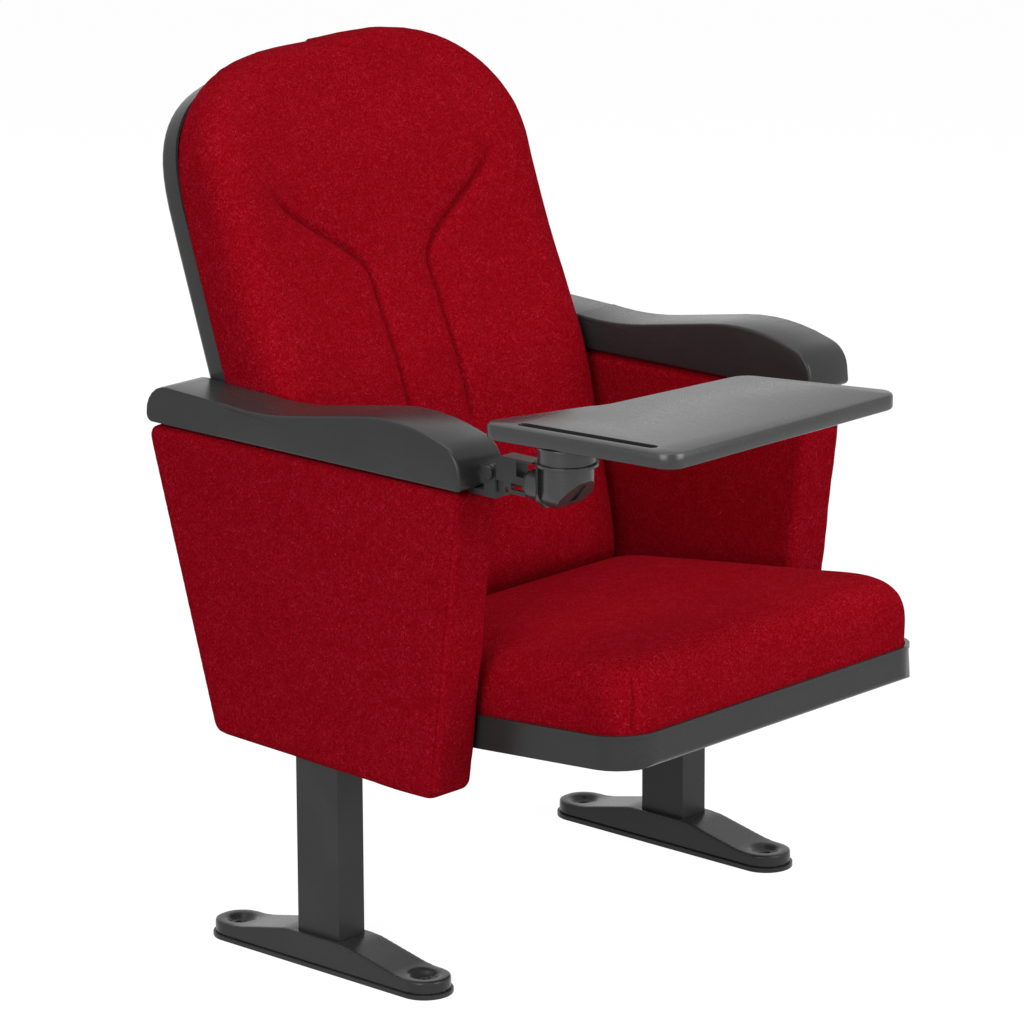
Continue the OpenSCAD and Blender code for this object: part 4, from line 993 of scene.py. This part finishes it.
class SEAT_OT_inner_parts(bpy.types.Operator):
    """Gives every remaining CAD node its finish, and the boards the fabric that is turned round them"""

    bl_idname = "seat.inner_parts"
    bl_label = "Inner parts"

    def execute(self, context):
        for node, piece in frame["nodes"].items():
            if not piece.hide_render:
                finish = finishes()[SLOT_OF[node]]
                piece.data.materials.clear()
                piece.data.materials.append(finish)
        for node, rear in (
            ("seat_board", out_of_seat(Vector((0.0, 0.0, -1.0)))),
            ("back_board", out_of_back(Vector((0.0, 1.0, 0.0)))),
        ):
            board = frame["nodes"][node].data
            board.materials.append(finishes()["red_fabric"])
            for face in board.polygons:
                face.material_index = 0 if face.normal.dot(rear) > 0.7 else 1
        return {"FINISHED"}


def camera_axes(studio):
    """The camera's right and up directions, the way it looks, and where it stands."""
    a, e = studio.azimuth, studio.elevation
    right = Vector((math.cos(a), math.sin(a), 0.0))
    look = Vector((-math.sin(a) * math.cos(e), math.cos(a) * math.cos(e), -math.sin(e)))
    up = right.cross(look)
    aim = Vector((0.0, 0.0, 0.5)) + right * studio.offset[0] + up * studio.offset[1]
    place = aim - look * studio.distance
    c, s = math.cos(studio.roll), math.sin(studio.roll)
    return right * c + up * s, up * c - right * s, look, place


class SEAT_OT_studio(bpy.types.Operator):
    """Makes the pale floor, the soft lights and the camera"""

    bl_idname = "seat.studio"
    bl_label = "Studio"

    def execute(self, context):
        scene = context.scene
        studio = scene.seat_studio
        only_nothing()
        bpy.ops.mesh.primitive_plane_add(size=30.0, location=(0.0, 0.0, 0.0))
        floor = context.object
        floor.name = "studio_floor"
        paper = Finish("pale_floor")
        shown = paper.node("ShaderNodeLightPath", output="Is Camera Ray")
        mirrored = paper.node("ShaderNodeLightPath", output="Is Glossy Ray")
        through = paper.node("ShaderNodeLightPath", output="Is Transmission Ray")
        seen = (shown + mirrored + through).clamped()
        bounce = paper.node("ShaderNodeBsdfDiffuse", {}, {"Color": (0.36, 0.36, 0.36, 1.0)}, output="BSDF")
        shadow = paper.node("ShaderNodeBsdfDiffuse", {}, {"Color": (0.20, 0.20, 0.20, 1.0)}, output="BSDF")
        glow = paper.node("ShaderNodeEmission", {}, {"Color": (1.0, 1.0, 1.0, 1.0), "Strength": 0.945})
        white = paper.node("ShaderNodeAddShader", {}, {0: shadow, 1: glow})
        paper.node_output(paper.node("ShaderNodeMixShader", {}, {0: seen, 1: bounce, 2: white}))
        floor.data.materials.append(paper.material)

        world = bpy.data.worlds.new("studio_world")
        world.use_nodes = True
        scene.world = world
        tree = world.node_tree
        tree.nodes.clear()
        path = tree.nodes.new("ShaderNodeLightPath")

        def either(first, second):
            made = tree.nodes.new("ShaderNodeMath")
            made.operation = "ADD"
            made.use_clamp = True
            tree.links.new(first, made.inputs[0])
            tree.links.new(second, made.inputs[1])
            return made.outputs[0]

        def background(strength):
            made = tree.nodes.new("ShaderNodeBackground")
            made.inputs["Color"].default_value = (1.0, 1.0, 1.0, 1.0)
            made.inputs["Strength"].default_value = strength
            return made.outputs[0]

        looked_at = either(path.outputs["Is Camera Ray"], path.outputs["Is Glossy Ray"])
        mix = tree.nodes.new("ShaderNodeMixShader")
        end = tree.nodes.new("ShaderNodeOutputWorld")
        tree.links.new(either(looked_at, path.outputs["Is Transmission Ray"]), mix.inputs["Fac"])
        tree.links.new(background(studio.ambient), mix.inputs[1])
        tree.links.new(background(1.0), mix.inputs[2])
        tree.links.new(mix.outputs[0], end.inputs["Surface"])

        def soft_box(name, place, size, power, aim=(0.0, 0.0, 0.45)):
            data = bpy.data.lights.new(name, "AREA")
            data.shape = "RECTANGLE"
            data.size, data.size_y = size
            data.energy = power
            lamp = bpy.data.objects.new(name, data)
            scene.collection.objects.link(lamp)
            lamp.location = place
            lamp.rotation_mode = "QUATERNION"
            lamp.rotation_quaternion = (Vector(aim) - Vector(place)).to_track_quat("-Z", "Y")

        soft_box("overhead_box", (-0.2, -0.1, 3.4), (2.2, 2.2), 37.0 * studio.lamps)
        soft_box("front_box", (0.3, -2.4, 1.25), (1.4, 1.4), 33.0 * studio.lamps, (0.0, -0.3, 0.4))
        soft_box("side_box", (-2.3, -0.7, 1.2), (1.4, 1.4), 30.0 * studio.lamps, (-0.3, -0.1, 0.4))

        right, up, look, place = camera_axes(studio)
        lens = bpy.data.cameras.new("studio_camera")
        lens.lens = studio.lens
        lens.sensor_width = 36.0
        lens.sensor_fit = "HORIZONTAL"
        lens.clip_start = 0.1
        lens.clip_end = 100.0
        camera = bpy.data.objects.new("studio_camera", lens)
        scene.collection.objects.link(camera)
        turn = Matrix((right, up, -look)).transposed().to_4x4()
        camera.matrix_world = Matrix.Translation(place) @ turn
        scene.camera = camera
        scene.view_settings.view_transform = "Standard"
        return {"FINISHED"}


STEPS = (
    SEAT_OT_back_cushion,
    SEAT_OT_seat_cushion,
    SEAT_OT_side_panels,
    SEAT_OT_mouldings,
    SEAT_OT_steelwork,
    SEAT_OT_tablet,
    SEAT_OT_inner_parts,
    SEAT_OT_studio,
)


class SEAT_PT_maker(bpy.types.Panel):
    """Lists the steps that dress the seat"""

    bl_idname = "SEAT_PT_maker"
    bl_label = "Auditorium seat"
    bl_space_type = "VIEW_3D"
    bl_region_type = "UI"
    bl_category = "Seat"

    def draw(self, context):
        column = self.layout.column()
        for step in STEPS:
            column.operator(step.bl_idname)
        for group in (context.scene.seat_fabric, context.scene.seat_moulding, context.scene.seat_studio):
            for name in group.bl_rna.properties.keys():
                if name not in ("rna_type", "name"):
                    column.prop(group, name)


CLASSES = (FabricSettings, MouldingSettings, StudioSettings, *STEPS, SEAT_PT_maker)


def register():
    for made in CLASSES:
        bpy.utils.register_class(made)
    bpy.types.Scene.seat_fabric = bpy.props.PointerProperty(type=FabricSettings)
    bpy.types.Scene.seat_moulding = bpy.props.PointerProperty(type=MouldingSettings)
    bpy.types.Scene.seat_studio = bpy.props.PointerProperty(type=StudioSettings)


def unregister():
    del bpy.types.Scene.seat_studio
    del bpy.types.Scene.seat_moulding
    del bpy.types.Scene.seat_fabric
    for made in reversed(CLASSES):
        bpy.utils.unregister_class(made)


def main():
    register()
    bpy.ops.seat.back_cushion()
    bpy.ops.seat.seat_cushion()
    bpy.ops.seat.side_panels()
    bpy.ops.seat.mouldings()
    bpy.ops.seat.steelwork()
    bpy.ops.seat.tablet()
    bpy.ops.seat.inner_parts()
    bpy.ops.seat.studio()
    bpy.context.view_layer.update()


if __name__ == "__main__":
    main()
